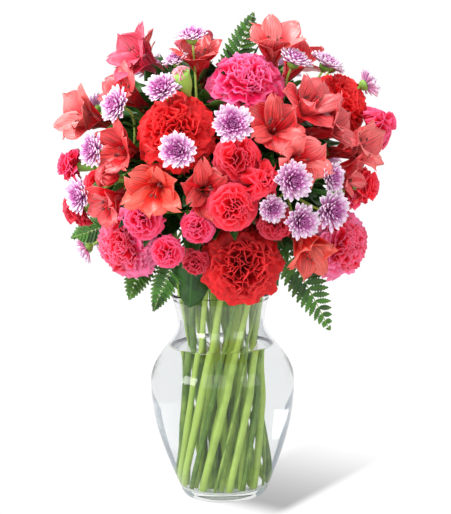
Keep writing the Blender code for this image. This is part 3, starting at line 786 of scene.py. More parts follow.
def stalk(
    name: str, points: Sequence[Vector], radius: Callable[[float], float], sides: int = 10
) -> bpy.types.Mesh:
    """A round stem: a grid rolled up along points, its ends drawn in and closed.

    Args:
        name: the mesh's name.
        points: the stem's middle line.
        radius: gives the radius from the share of the way along.
        sides: faces round it.

    Returns:
        The stem's mesh.
    """
    ways = [(points[min(i + 1, len(points) - 1)] - points[max(i - 1, 0)]).normalized()
            for i in range(len(points))]
    side = basis(ways[0])[0]
    frames = []
    for line in ways:
        side = (side - line * side.dot(line)).normalized()
        frames.append((side.copy(), line.cross(side)))
    rows = len(points) + 1

    def roll(u: float, w: float) -> Vector:
        row = round(w * rows)
        i = min(max(row - 1, 0), len(points) - 1)
        r = 0.0 if row in (0, rows) else radius(i / (len(points) - 1))
        a, (x, y) = math.pi * (u + 1), frames[i]
        return points[i] + (x * math.cos(a) + y * math.sin(a)) * r

    mesh = sheet(name, sides, rows, roll)
    bm = bmesh.new()
    bm.from_mesh(mesh)
    bmesh.ops.remove_doubles(bm, verts=bm.verts, dist=1e-6)
    bmesh.ops.recalc_face_normals(bm, faces=bm.faces)
    bm.to_mesh(mesh)
    bm.free()
    return mesh


# ---------------------------------------------------------------- flowers


@dataclass
class Carnation:
    """A carnation's head: fans with toothed, ruffled margins, from flat outer ones to a crest."""

    form: Form
    broad: int
    crest: int
    variants: int = 7
    columns: int = 20
    rows: int = 9
    spread: float = 0.66
    ruffle: float = 0.075
    frill: float = 0.03
    fold: float = 0.13
    tooth: float = 0.065
    teeth: float = 9.0
    open_angle: float = 100.0
    crest_angle: float = 36.0
    recurve: float = 0.42
    aim: float = 0.85
    drop: float = 1.6
    stretch: float = 1.05
    fans: list[bpy.types.Mesh] = field(default_factory=list)
    folded: list[bpy.types.Mesh] = field(default_factory=list)

    def __post_init__(self) -> None:
        """Makes the petal variants."""
        self.fans = [self.fan(i) for i in range(self.variants)]
        self.folded = [self.crumpled(i) for i in range(self.variants)]

    def crumpled(self, seed: int) -> bpy.types.Mesh:
        """One crest petal of length 1, pleated so that its margin is seen as a squiggle."""
        rng = np.random.default_rng(90 + seed)
        phase, second = rng.uniform(0, math.tau, 2)
        waves = rng.uniform(1.1, 1.8)

        def shape(u: float, w: float) -> Vector:
            edge = ease(w, 0.35, 1.0)
            notch = abs(((u * self.teeth * 0.6 + phase) % 1.0) - 0.5) * 2
            half = self.spread * 0.60 * (0.25 + 0.75 * edge)
            pleat = math.sin(u * waves * math.pi + phase)
            pleat += 0.4 * math.sin(u * waves * 2.7 * math.pi + second)
            reach = w * (1 - 0.07 * u * u) - self.tooth * 0.7 * edge**3 * notch
            roll = 0.09 * edge**2 * math.sin(u * 2.2 + second)
            return Vector((u * half, reach, self.fold * (0.2 + 0.8 * edge) * pleat + roll))

        return sheet(f"folded_{seed}", self.columns - 4, self.rows - 2, shape)

    def fan(self, seed: int) -> bpy.types.Mesh:
        """One petal of length 1: a narrow claw, a broad blade and a toothed, wavy margin."""
        rng = np.random.default_rng(40 + seed)
        phase, second, third = rng.uniform(0, math.tau, 3)
        waves = rng.uniform(1.1, 1.7)

        def shape(u: float, w: float) -> Vector:
            edge = ease(w, 0.55, 1.0)
            tooth = abs(((u * self.teeth + phase) % 1.0) - 0.5) * 2
            deep = abs(((u * self.teeth * 0.43 + second) % 1.0) - 0.5) * 2
            reach = 0.22 + 0.78 * w - 0.12 * u * u * w
            reach -= edge**3 * self.tooth * (tooth + 0.7 * deep)
            angle = u * self.spread * (0.30 + 0.70 * ease(w, 0.0, 0.8))
            ripple = math.sin(u * waves * math.pi + phase)
            ripple += 0.55 * math.sin(u * waves * 2.3 * math.pi + second)
            height = self.ruffle * (0.15 + 0.85 * ease(w, 0.2, 1.0)) * ripple
            height += self.frill * edge**2 * math.sin(u * waves * 4.6 * math.pi + third)
            height -= self.recurve * ease(w, 0.35, 1.1) ** 2
            return Vector((reach * math.sin(angle), reach * math.cos(angle) - 0.22, height))

        return sheet(f"fan_{seed}", self.columns, self.rows, shape)

    def pile(self, pile: Pile, place: Vector, axis: Vector, size: float, seed: int) -> None:
        """Sets the petals of one head.

        Args:
            pile: takes the petals. Its second slot is the crest's.
            place: the head's middle.
            axis: the way it faces.
            size: its share of the form.
            seed: of its irregularities.
        """
        rng = np.random.default_rng(seed)
        r, rise, under = (value * size for value in self.form)
        base = place - axis * under
        low, high = (math.cos(math.radians(a)) for a in (self.open_angle, self.crest_angle))
        for i in range(self.broad + self.crest):
            inner = i >= self.broad
            t = (i - self.broad) / max(1, self.crest - 1) if inner else i / max(1, self.broad - 1)
            polar = math.acos(mix(high, 0.99, t) if inner else mix(low, high, t))
            turn = i * GOLDEN + rng.uniform(-0.25, 0.25)
            out = spoke(axis, turn)
            level = rise if math.cos(polar) > 0 else under * self.drop
            share = rng.uniform(0.90, 1.03)
            tip = place + out * (r * math.sin(polar) * share)
            tip += axis * (level * math.cos(polar) * share)
            line = tip - base
            sway = rng.uniform(-2.2, 2.2) if inner else rng.uniform(-0.35, 0.35)
            normal = (petal_face(line, axis, out) + out.cross(axis) * sway).normalized()
            if not inner:
                line = line + normal * line.length * self.recurve * self.aim
            length = line.length * self.stretch
            width = r if inner else length * mix(1.0, 0.8, t)
            scale = Matrix.Diagonal((width, length, width, 1))
            kind = self.folded if inner else self.fans
            pile.add(
                kind[int(rng.integers(self.variants))],
                frame_at(base, line, normal) @ scale, float(rng.uniform()), int(inner),
            )


@dataclass
class Lily:
    """An alstroemeria floret: three broad tepals, three narrow flecked ones, and stamens."""

    length: float = 50 * MM
    variants: int = 4
    broad: list[bpy.types.Mesh] = field(default_factory=list)
    narrow: list[bpy.types.Mesh] = field(default_factory=list)

    def __post_init__(self) -> None:
        """Makes the tepal variants."""
        for i in range(self.variants):
            self.broad.append(self.tepal(i, 0.27, 0.13, 66))
            self.narrow.append(self.tepal(i + 10, 0.165, 0.10, 56))

    def tepal(self, seed: int, width: float, cup: float, flare: float) -> bpy.types.Mesh:
        """A tepal of length 1 that leaves the axis (Y) and flares towards its back (-Z)."""
        rng = np.random.default_rng(seed)
        wave, lean = rng.uniform(0, math.tau), rng.uniform(-22, 22)
        steps = 24
        line = [Vector((0, 0, 0))]
        for i in range(steps):
            turn = math.radians(mix(4, flare + lean, (i / steps) ** 1.6))
            line.append(line[-1] + Vector((0, math.cos(turn), -math.sin(turn))) / steps)

        def shape(u: float, w: float) -> Vector:
            at = w * steps
            i = min(int(at), steps - 1)
            middle = line[i].lerp(line[i + 1], at - i)
            half = width * (0.14 + 0.86 * ease(w, 0.05, 0.74))
            half *= math.sqrt(max(0.0, 1 - ease(w, 0.70, 1.02) ** 2.4))
            lift = cup * u * u * (1 - 0.8 * w) - 0.05 * abs(u) * ease(w, 0.5, 1)
            lift += 0.045 * math.sin(u * 3.2 + w * 8 + wave) * ease(w, 0.25, 1)
            lift += 0.02 * u * math.sin(w * 19 + wave * 2) * ease(w, 0.3, 0.8)
            point = 0.03 * ease(w, 0.9, 1.0) * (1 - abs(u))
            return middle + Vector((u * half, point, lift + 0.02))

        return sheet(f"tepal_{seed}", 10, 16, shape)

    def pile(self, pile: Pile, base: Vector, axis: Vector, size: float, seed: int) -> None:
        """Sets the tepals and stamens of one floret about its axis from its base.

        Args:
            pile: takes the tepals. Its second slot is the anthers', its third the narrow tepals'.
            base: the floret's throat.
            axis: the way it faces.
            size: its share of the usual length.
            seed: of its irregularities.
        """
        rng = np.random.default_rng(seed)
        start = rng.uniform(-0.3, 0.3) + math.pi / 2
        for i in range(6):
            turn = start + i * math.tau / 6 + rng.uniform(-0.08, 0.08)
            out = spoke(axis, turn)
            kind = self.broad if i % 2 == 0 else self.narrow
            stretch = self.length * size * (1.0 if i % 2 == 0 else 1.04) * rng.uniform(0.95, 1.05)
            matrix = frame_at(base + out * 1.5 * MM, axis, -out) @ Matrix.Scale(stretch, 4)
            tepal = kind[int(rng.integers(self.variants))]
            pile.add(tepal, matrix, float(rng.uniform()), 2 * (i % 2))
        for i in range(6):
            turn = rng.uniform(0, math.tau)
            out = spoke(axis, turn)
            tip = base + axis * self.length * size * rng.uniform(0.62, 0.8) + out * 4.5 * MM * size
            points = [base] + bend(base, axis, tip, axis + out * 0.5, 4)
            pile.add(stalk("filament", points, lambda s: 0.45 * MM, 5), Matrix(), 0.9)
            anther = [tip, tip + (axis * 0.4 + out).normalized() * 2.6 * MM]
            pile.add(stalk("anther", anther, lambda s: 0.75 * MM, 6), Matrix(), 0.5, 1)


@dataclass
class Mum:
    """A spray chrysanthemum: rings of narrow spooned rays about a dark heart."""

    form: Form
    outer: int = 42
    inner: int = 26
    hearts: int = 20
    variants: int = 4
    ray_half: float = 0.118
    rays: list[bpy.types.Mesh] = field(default_factory=list)

    def __post_init__(self) -> None:
        """Makes the ray variants."""
        self.rays = [self.ray(i) for i in range(self.variants)]

    def ray(self, seed: int) -> bpy.types.Mesh:
        """One narrow ray of length 1, cupped across and curling up at its tip."""
        rng = np.random.default_rng(70 + seed)
        lean, curl = rng.uniform(-0.05, 0.05), rng.uniform(0.02, 0.12)

        def shape(u: float, w: float) -> Vector:
            half = self.ray_half * (0.3 + 0.7 * ease(w, 0.1, 0.8))
            half *= math.sqrt(max(0.0, 1 - ease(w, 0.78, 1.02) ** 2))
            return Vector((u * half + lean * w * w, w, 0.06 * u * u + curl * w * w))

        return sheet(f"ray_{seed}", 4, 8, shape)

    def pile(self, pile: Pile, place: Vector, axis: Vector, size: float, seed: int) -> None:
        """Sets the rays of one head. The second and third slots are the inner and heart rays'."""
        rng = np.random.default_rng(seed)
        r, rise, under = (value * size for value in self.form)
        base = place - axis * under * 0.8
        total = self.outer + self.inner + self.hearts
        for i in range(total):
            t = i / (total - 1)
            polar = math.radians(mix(97, 8, t**0.85))
            turn = i * GOLDEN + rng.uniform(-0.12, 0.12)
            out = spoke(axis, turn)
            zone = int(i >= self.outer) + int(i >= self.outer + self.inner)
            share = rng.uniform(0.84, 1.06) * (1.0, 0.94, 0.74)[zone]
            tip = place + out * r * math.sin(polar) * share
            tip += axis * rise * math.cos(polar) * share
            line = tip - base
            length = line.length
            scale = Matrix.Diagonal((max(length, r * 0.8) * mix(1.1, 0.75, t), length, length, 1))
            pile.add(
                self.rays[int(rng.integers(self.variants))],
                frame_at(base, line, petal_face(line, axis, out)) @ scale,
                float(rng.uniform()), zone,
            )


def calyx_tube(
    base: Vector, axis: Vector, length: float, foot: float, mouth: float
) -> bpy.types.Mesh:
    """A green calyx: a tube that swells towards its mouth."""
    points = [base + axis * length * i / 7 for i in range(8)]

    def radius(s: float) -> float:
        return mix(foot, mouth, ease(s, 0.0, 0.55)) * (1 + 0.05 * math.sin(s * 9))

    return stalk("calyx", points, radius, 12)


# ---------------------------------------------------------------- sub-assemblies


@dataclass
class Vase:
    """The clear ginger vase and its water."""

    height: float = 203 * MM
    foot_radius: float = 41.5 * MM
    belly_radius: float = 71 * MM
    belly_height: float = 112 * MM
    neck_radius: float = 42.6 * MM
    neck_height: float = 172 * MM
    rim_radius: float = 50 * MM
    wall: float = 2.8 * MM
    floor: float = 8.5 * MM
    rounding: float = 2.5 * MM
    water_level: float = 150 * MM
    sides: int = 128

    def radius(self, z: float) -> float:
        """The outer radius at height z."""
        if z <= self.belly_height:
            rise = math.sin(math.pi / 2 * z / self.belly_height)
            return self.foot_radius + (self.belly_radius - self.foot_radius) * rise
        if z <= self.neck_height:
            t = ((z - self.belly_height) / (self.neck_height - self.belly_height)) ** 1.25
            return self.belly_radius - (self.belly_radius - self.neck_radius) * t * t * (3 - 2 * t)
        t = (z - self.neck_height) / (self.height - self.neck_height)
        return self.neck_radius + (self.rim_radius - self.neck_radius) * t**1.8

    def turned(self, name: str, profile: Sequence[tuple[float, float]]) -> bpy.types.Mesh:
        """A solid spun about Z from a profile of (radius, height) that starts and ends on Z."""
        bm = bmesh.new()
        verts = [bm.verts.new((r, 0, z)) for r, z in profile]
        edges = [bm.edges.new(pair) for pair in zip(verts, verts[1:])]
        bmesh.ops.spin(
            bm, geom=verts + edges, cent=(0, 0, 0), axis=(0, 0, 1), angle=math.tau,
            steps=self.sides, use_merge=True,
        )
        bmesh.ops.remove_doubles(bm, verts=bm.verts, dist=1e-6)
        bmesh.ops.recalc_face_normals(bm, faces=bm.faces)
        for face in bm.faces:
            face.smooth = True
        return mesh_of(name, bm)

    def corner(self, r: float, z: float, start: float, radius: float) -> list[tuple[float, float]]:
        """A rounded corner of a profile about (r, z), a quarter turn down from an angle."""
        return [
            (r + radius * math.cos(a), z + radius * math.sin(a))
            for a in (math.radians(start - 15 * i) for i in range(7))
        ]

    def build(self) -> None:
        """Makes the glass and the water."""
        lip = self.wall / 2
        inner_floor = self.radius(self.floor) - self.wall
        low = self.floor + self.rounding * 1.6
        steps = [low + (self.height - lip - low) * i / 70 for i in range(71)]
        inner = [(0.0, self.floor), (inner_floor * 0.5, self.floor),
                 (inner_floor - self.rounding * 1.6, self.floor),
                 (inner_floor - self.rounding * 0.5, self.floor + self.rounding * 0.45)]
        inner += [(self.radius(z) - self.wall, z) for z in steps]
        rim = [(self.rim_radius - lip + lip * math.cos(a), self.height - lip + lip * math.sin(a))
               for a in (math.radians(150 - 30 * i) for i in range(5))]
        rise = self.height - lip - self.rounding
        outer = [(self.radius(z), z) for z in
                 [self.rounding + rise * i / 72 for i in range(73)]][::-1]
        middle = self.foot_radius - self.rounding * 0.8
        foot = self.corner(middle, self.rounding, -15, self.rounding)
        foot = [(r, max(z, 0.0)) for r, z in foot]
        glass = self.turned("vase_glass", inner + rim + outer + foot + [(0.0, 0.0)])
        glass.materials.append(self.clear("clear_glass", GLASS_TINT, GLASS_INDEX))
        glass.materials.append(self.clear("wet_glass", GLASS_TINT, GLASS_INDEX / WATER_INDEX))
        glass.materials.append(self.clear("lip_glass", GLASS_TINT, LIP_INDEX))
        # The foot's underside takes a pale, nearly opaque finish: painted light standing in for the
        # bright floor seen through the glass.
        glass.materials.append(self.clear("foot_glass", (0.93, 0.94, 0.94), LIP_INDEX, 0.15, 0.5))
        for face in glass.polygons:
            middle = face.center
            r = math.hypot(middle.x, middle.y)
            inside = r < self.radius(middle.z) - self.wall * 0.7 and middle.z > self.floor * 0.7
            face.material_index = int(inside and middle.z < self.water_level + 0.5 * MM)
            if middle.z > self.height - 4 * lip:
                face.material_index = 2
            # Underside of the foot: the pale finish with painted floor light.
            elif middle.z < 0.2 * MM:
                face.material_index = 3
        declare("vase_glass", glass, Slot.GLASS, ["vase"])
        self.build_water()

    def build_water(self) -> None:
        """Makes the water, whose edge climbs a little up the glass."""
        sunk = 0.06 * MM
        top = self.water_level
        edge = self.radius(top) - self.wall
        surface = [(0.0, top), (edge * 0.6, top), (edge - 3 * MM, top),
                   (edge - 1.2 * MM, top + 0.3 * MM), (edge + sunk, top + 1.4 * MM)]
        wall = [(self.radius(z) - self.wall + sunk, z) for z in
                [top - (top - self.floor - self.rounding * 1.6) * i / 40 for i in range(41)]]
        inner = self.radius(self.floor) - self.wall
        foot = [(inner - self.rounding * 0.5, self.floor + self.rounding * 0.45 - sunk),
                (inner - self.rounding * 1.6, self.floor - sunk), (0.0, self.floor - sunk)]
        mesh = self.turned("water", surface + wall + foot)
        mesh.materials.append(self.clear("water_surface", WATER_TINT, WATER_INDEX))
        mesh.materials.append(self.clear("water_body", WATER_TINT, 1.0))
        for face in mesh.polygons:
            face.material_index = int(face.center.z < top - 0.01 * MM)
        declare("still_water", mesh, Slot.WATER, ["water"])

    def clear(self, name: str, colour: Colour, bend_index: float, clarity: float = 1.0,
              roughness: float = 0.0) -> bpy.types.Material:
        """A clear finish that lets light through to what stands in it."""
        made, t = blank(name)
        body = t.node("BsdfPrincipled", Base_Color=(*colour, 1), Roughness=roughness,
                      IOR=bend_index, Transmission_Weight=clarity)
        open_way = t.node("BsdfTransparent", Color=(0.96, 0.97, 0.97, 1))
        ray = t.node("LightPath").outputs
        through = t.math("MAXIMUM", ray["Is Shadow Ray"], ray["Is Diffuse Ray"])
        both = t.node("MixShader", i0=through, i1=body.outputs[0], i2=open_way.outputs[0])
        t.node("OutputMaterial", Surface=both.outputs[0])
        return made


class Seat(NamedTuple):
    """What a bloom gives its spray: its base, its calyx and that one's tint, and its finishes."""

    base: Vector
    calyx: bpy.types.Mesh
    tint: float
    finishes: list[Finish]


@dataclass
class Bouquet:
    """All the flowers of the bouquet."""

    dome: Dome
    carnation_form: Form = Form(37 * MM, 20 * MM, 15 * MM)
    mini_form: Form = Form(18.5 * MM, 11 * MM, 11 * MM)
    mum_form: Form = Form(16.5 * MM, 7 * MM, 5 * MM)
    bud_form: Form = Form(8 * MM, 12 * MM, 13 * MM)
    calyx_length: float = 22 * MM
    calyx_radius: float = 6.5 * MM
    mini_calyx_length: float = 14 * MM
    mini_calyx_radius: float = 4.5 * MM
    floret_length: float = 40 * MM
    floret_middle: float = 0.7
    pedicel: float = 1.2 * MM
    petal_thickness: float = 0.3 * MM

    def stem_mesh(self, points: Sequence[Vector], radius: float, nodes: int) -> bpy.types.Mesh:
        """A stem with swollen joints, a little thicker at its foot."""

        def thick(s: float) -> float:
            swell = math.exp(-((((s * nodes) % 1.0) - 0.5) / 0.07) ** 2)
            return radius * (1.06 - 0.12 * s) * (1 + 0.22 * swell)

        return stalk("stem", points, thick, 12)

    def carnations(self) -> None:
        """Makes the large carnations."""
        head = Carnation(self.carnation_form, 44, 24, crest_angle=31.0)
        for k, (name, (_, bloom)) in enumerate(CARNATIONS.items()):
            place, axis = self.dome.spot(*bloom[:3]), way(*bloom[3:5])
            pile = Pile()
            head.pile(pile, place, axis, bloom.size, CARNATION_SEED + k)
            slot = Slot.PINK if name.startswith("pink") else Slot.RED
            pile.piece(f"carnation_{name}_petals", [bloom.finish, CRESTS[bloom.finish.name]], slot,
                       [f"carnation_{name}_bloom"], self.petal_thickness)
            top = place - axis * self.carnation_form.under * bloom.size * 0.7
            base = top - axis * (self.calyx_length + 2 * MM)
            green = Pile()
            points = self.dome.stem_route(f"carnation_{name}", base + axis * MM, axis)
            green.add(self.stem_mesh(points, 2.9 * MM, 3), Matrix(), (0.95, 0.3, 0.75, 0.1)[k % 4])
            green.add(calyx_tube(base, axis, self.calyx_length + 4 * MM, 3.4 * MM,
                                 self.calyx_radius * 0.95), Matrix(), 0.5, 1)
            green.piece(f"carnation_{name}_green", [STEM, CALYX], Slot.STEM,
                        [f"carnation_{name}_stem"])

    def spray_stem(self, kind: str, name: str, spray: Spray, radius: float) -> tuple[Pile, Vector]:
        """Starts a spray's green pile with its stem, and gives its hub."""
        hub, outward = self.dome.spot(*spray.hub), way(*spray.hub[:2])
        points = self.dome.stem_route(f"{kind}_{name}", hub + outward * MM, outward)
        green = Pile()
        tint = (len(name) * 0.37 + radius / MM) % 1.0
        green.add(self.stem_mesh(points, radius, 4), Matrix(), tint)
        return green, hub

    def twig(self, green: Pile, hub: Vector, place: Vector, base: Vector, axis: Vector) -> None:
        """Adds the pedicel from the hub to a flower's base."""
        points = [hub] + bend(hub, place - hub, base, axis, 9, 0.3)
        twig = stalk("pedicel", points, lambda s: self.pedicel * (1.25 - 0.35 * s), 7)
        green.add(twig, Matrix(), 0.6)

    def sprays(
        self, kind: str, table: dict[str, Spray], radius: float, seed: int, slot: Slot,
        head: Callable[[Pile, Bloom, Vector, Vector, bool, int], Seat],
    ) -> None:
        """Makes every spray of one kind.

        Args:
            kind: the start of the names of its nodes.
            table: its sprays.
            radius: their stems' radius.
            seed: of their irregularities.
            slot: the record's slot of their petals.
            head: sets one bloom, from its pile, its row, its place, the way it faces, whether it
                is a bud, and its seed.
        """
        for s, (name, spray) in enumerate(table.items()):
            green, hub = self.spray_stem(kind, name, spray, radius)
            piles: dict[str, Pile] = {}
            finishes: dict[str, list[Finish]] = {}
            for k, bloom in enumerate(spray.blooms + spray.buds):
                place, axis = self.dome.spot(*bloom[:3]), way(*bloom[3:5])
                key = bloom.finish.name if bloom.finish else "petals"
                pile = piles.setdefault(key, Pile())
                own = seed + SEEDS_PER_SPRAY * s + k
                seat = head(pile, bloom, place, axis, bloom in spray.buds, own)
                finishes[key] = seat.finishes
                self.twig(green, hub, place, seat.base, axis)
                green.add(seat.calyx, Matrix(), seat.tint, 1)
            for key, pile in piles.items():
                pile.piece(f"{kind}_{name}_{key}", finishes[key], slot, [f"{kind}_{name}_blooms"],
                           self.petal_thickness)
            green.piece(f"{kind}_{name}_green", [STEM, CALYX], Slot.STEM, [f"{kind}_{name}_stem"])

    def minis(self) -> None:
        """Makes the sprays of small carnations."""
        open_head = Carnation(
            self.mini_form, 20, 11, columns=16, rows=8, spread=0.8, ruffle=0.045, frill=0.014,
            fold=0.11, tooth=0.03, teeth=5.0, open_angle=94.0, crest_angle=27.0, recurve=0.34,
        )
        bud = Carnation(
            self.bud_form, 11, 9, columns=12, rows=7, spread=0.95, ruffle=0.03, frill=0.0,
            fold=0.08, tooth=0.02, teeth=4.0, open_angle=58.0, crest_angle=36.0,
        )
        tip = Carnation(
            self.bud_form, 7, 5, columns=8, rows=6, spread=0.8, ruffle=0.02, frill=0.0, fold=0.05,
            tooth=0.02, teeth=4.0, open_angle=36.0, crest_angle=20.0,
        )

        def head(pile: Pile, bloom: Bloom, place: Vector, axis: Vector, closed: bool,
                 seed: int) -> Seat:
            shut = bloom.finish is TIP_PINK
            kind = tip if shut else bud if closed else open_head
            kind.pile(pile, place + axis * (7 * MM if shut else 0), axis,
                      bloom.size * (0.5 if shut else 1.0), seed)
            form = self.bud_form if closed else self.mini_form
            behind = form.under * bloom.size + self.mini_calyx_length * (0.4 if closed else 1.0)
            length = behind + (8 * MM if shut else (-7 if closed else -8) * MM * bloom.size)
            mouth = self.bud_form.radius * 0.9 if shut else self.mini_calyx_radius * bloom.size
            base = place - axis * behind
            return Seat(base, calyx_tube(base, axis, length, 2.0 * MM, mouth),
                        0.9 if shut else 0.6, [bloom.finish, CRESTS[bloom.finish.name]])

        self.sprays("mini_carnation", MINI_CARNATIONS, 2.4 * MM, MINI_SEED, Slot.CORAL, head)

    def lilies(self) -> None:
        """Makes the alstroemerias."""
        floret = Lily()
        bud = Carnation(
            self.bud_form, 7, 0, columns=8, rows=6, spread=0.5, ruffle=0.02, frill=0.0,
            tooth=0.0, open_angle=30.0, crest_angle=10.0,
        )

        def head(pile: Pile, bloom: Bloom, place: Vector, axis: Vector, closed: bool,
                 seed: int) -> Seat:
            if closed:
                bud.pile(pile, place, axis, bloom.size, seed)
                base = place - axis * self.bud_form.under * bloom.size
            else:
                base = place - axis * self.floret_length * self.floret_middle * bloom.size
                floret.pile(pile, base, axis, bloom.size, seed)
            return Seat(base, calyx_tube(base - axis * 3 * MM, axis, 8 * MM, 1.4 * MM, 3.2 * MM),
                        0.5, [bloom.finish, ANTHER, flecked(bloom.finish)])

        self.sprays("alstroemeria", ALSTROEMERIAS, 3.0 * MM, LILY_SEED, Slot.SALMON, head)

    def mums(self) -> None:
        """Makes the sprays of lavender mums."""
        daisy = Mum(self.mum_form)

        def head(pile: Pile, bloom: Bloom, place: Vector, axis: Vector, _: bool,
                 seed: int) -> Seat:
            daisy.pile(pile, place, axis, bloom.size, seed)
            base = place - axis * (self.mum_form.under * bloom.size + 4 * MM)
            return Seat(base, calyx_tube(base, axis, 6 * MM, 2.0 * MM, 5.4 * MM * bloom.size),
                        0.4, [MUM, MUM_INNER, MUM_HEART])

        self.sprays("mum", MUMS, 2.2 * MM, MUM_SEED, Slot.LAVENDER, head)


@dataclass
class Greenery:
    """The fern fronds, the broad leaves and the leaves that fill the bouquet."""

    dome: Dome
    frond_width: float = 40 * MM
    pairs: int = 15
    filling_leaves: int = 520
    leaf_thickness: float = 0.4 * MM

    def blade(self, name: str, width: float, fold: float, arch: float, wave: float,
              fullness: float = 0.75) -> bpy.types.Mesh:
        """A leaf of length 1 with a folded midrib, a wavy edge and an arch along it."""

        def shape(u: float, w: float) -> Vector:
            half = width * math.sin(math.pi * min(1.0, 0.06 + 0.94 * w)) ** fullness
            half *= 1 - 0.25 * w
            lift = fold * abs(u) * half * 2 + wave * math.sin(w * 14 + u) * abs(u) * half
            return Vector((u * half, w, lift - arch * w * w))

        return sheet(name, 6, 12, shape)

    def pinna(self) -> bpy.types.Mesh:
        """A side branch of a frond of length 1, cut almost to its rib into pointed lobes."""

        def shape(u: float, w: float) -> Vector:
            lobe = (w * 6.0) % 1.0
            bulge = min(1.0, lobe * 0.55 + 0.45 * lobe * lobe + 0.02)
            cut = 0.66 + 0.34 * math.sin(math.pi * bulge)
            half = 0.185 * math.sin(math.pi * min(1.0, 0.16 + 0.84 * w)) ** 0.8 * cut
            ahead = 0.10 * abs(u) * cut * (1 - w)
            return Vector((u * half, w + ahead, 0.05 * abs(u) - 0.12 * w * w))

        return sheet("pinna", 4, 36, shape)

    def frond(self, name: str, frond: Frond, seed: int) -> None:
        """Makes a frond of leatherleaf fern: pinnae in pairs, each with its own leaflets."""
        rng = np.random.default_rng(seed)
        root, tip = self.dome.spot(*frond.root), self.dome.spot(*frond.tip)
        line = tip - root
        outward = line.normalized()
        facing = -1 if tip.y < self.dome.radius * 0.4 else 1
        side = outward.cross(Vector((0, facing, 0.35))).normalized()
        up = side.cross(outward)
        sag = Vector((0, 0, -frond.droop * line.length))
        pinna = self.pinna()
        pile = Pile()
        points = self.dome.stem_route(f"fern_{name}", root, outward)
        points += [root + line * (i / 12) + sag * (i / 12) ** 2 for i in range(1, 13)]
        pile.add(stalk("rachis", points, lambda s: mix(1.4, 0.35, s) * MM, 7), Matrix(), 0.3, 1)
        for i in range(self.pairs):
            s = (i + 0.6) / self.pairs
            start = root + line * s + sag * s * s
            fullness = math.sin(math.pi * min(1, 0.22 + 0.78 * s)) ** 0.8
            spread = self.frond_width * frond.width * 0.56 * fullness
            for hand in (-1, 1):
                ahead = (side * hand + outward * mix(0.35, 0.9, s)).normalized()
                ahead = (ahead + up * rng.uniform(-0.12, 0.12)).normalized()
                fit = Matrix.Diagonal((max(spread, self.frond_width * 0.4), spread, spread, 1))
                pile.add(pinna, frame_at(start, ahead, up) @ fit, float(rng.uniform()))
        pile.piece(f"fern_{name}_frond", [FERN, STEM], Slot.FERN, [f"fern_{name}"], 0.25 * MM)

    def broad_leaves(self) -> None:
        """Makes the two broad leaves that hang over the rim."""
        heart = self.dome.spot(0, 0, 0)
        for name, (root_at, tip_at, side) in {
            "leaf_over_rim": ((-22, -46, 0.62), (-27, -62, 0.94), Vector((0.96, -0.3, 0))),
            "leaf_low_back": ((128, -40, 0.66), (128, -58, 0.98), Vector((0.6, 0.8, 0))),
        }.items():
            root, tip = self.dome.spot(*root_at), self.dome.spot(*tip_at)
            line = tip - root
            pile = Pile()
            leaf = self.blade("broad", 0.36, 0.25, -0.05, 0.25, 0.5)
            turn = frame_at(root, line, side.cross(line))
            pile.add(leaf, turn @ Matrix.Scale(line.length, 4), 0.3)
            start = root + (heart - root) * 0.25
            points = [start] + bend(start, root - start, root + line * 0.1, line, 6)
            pile.add(stalk("petiole", points, lambda s: 1.1 * MM, 7), Matrix(), 0.3)
            pile.piece(name + "_blade", [LEAF], Slot.LEAF, [name], self.leaf_thickness)

    def filling(self) -> None:
        """Makes the leaves along the upper stems, which fill the gaps between the blooms."""
        rng = np.random.default_rng(11)
        kinds = [self.blade(f"lance_{i}", 0.22 + 0.05 * i, 0.2, 0.10 + 0.08 * i, 0.3)
                 for i in range(3)]
        pile = Pile()
        for i in range(self.filling_leaves):
            height = mix(-0.62, 0.99, (i + 0.5) / self.filling_leaves)
            turn = i * GOLDEN
            flat = math.sqrt(1 - height * height)
            out = Vector((math.cos(turn) * flat, math.sin(turn) * flat, height))
            reach = rng.uniform(0.34, 0.56)
            root = self.dome.spot(0, 0, 0) + out * reach * self.dome.radius
            length = self.dome.radius * (rng.uniform(0.72, 0.87) - reach)
            lean = out + Vector(rng.uniform(-0.55, 0.55, 3)) + Vector((0, 0, 0.15))
            up = Vector((0, 0, 1)) + Vector(rng.uniform(-0.5, 0.5, 3))
            turn = frame_at(root, lean, up) @ Matrix.Diagonal((0.045, length, length, 1))
            pile.add(kinds[i % 3], turn, float(rng.uniform(0, 0.8)))
        pile.piece("filling_leaves", [LEAF], Slot.LEAF, [], self.leaf_thickness)

    def build(self) -> None:
        """Makes all the greenery."""
        for i, (name, frond) in enumerate(FERNS.items()):
            self.frond(name, frond, FERN_SEED + i)
        self.broad_leaves()
        self.filling()


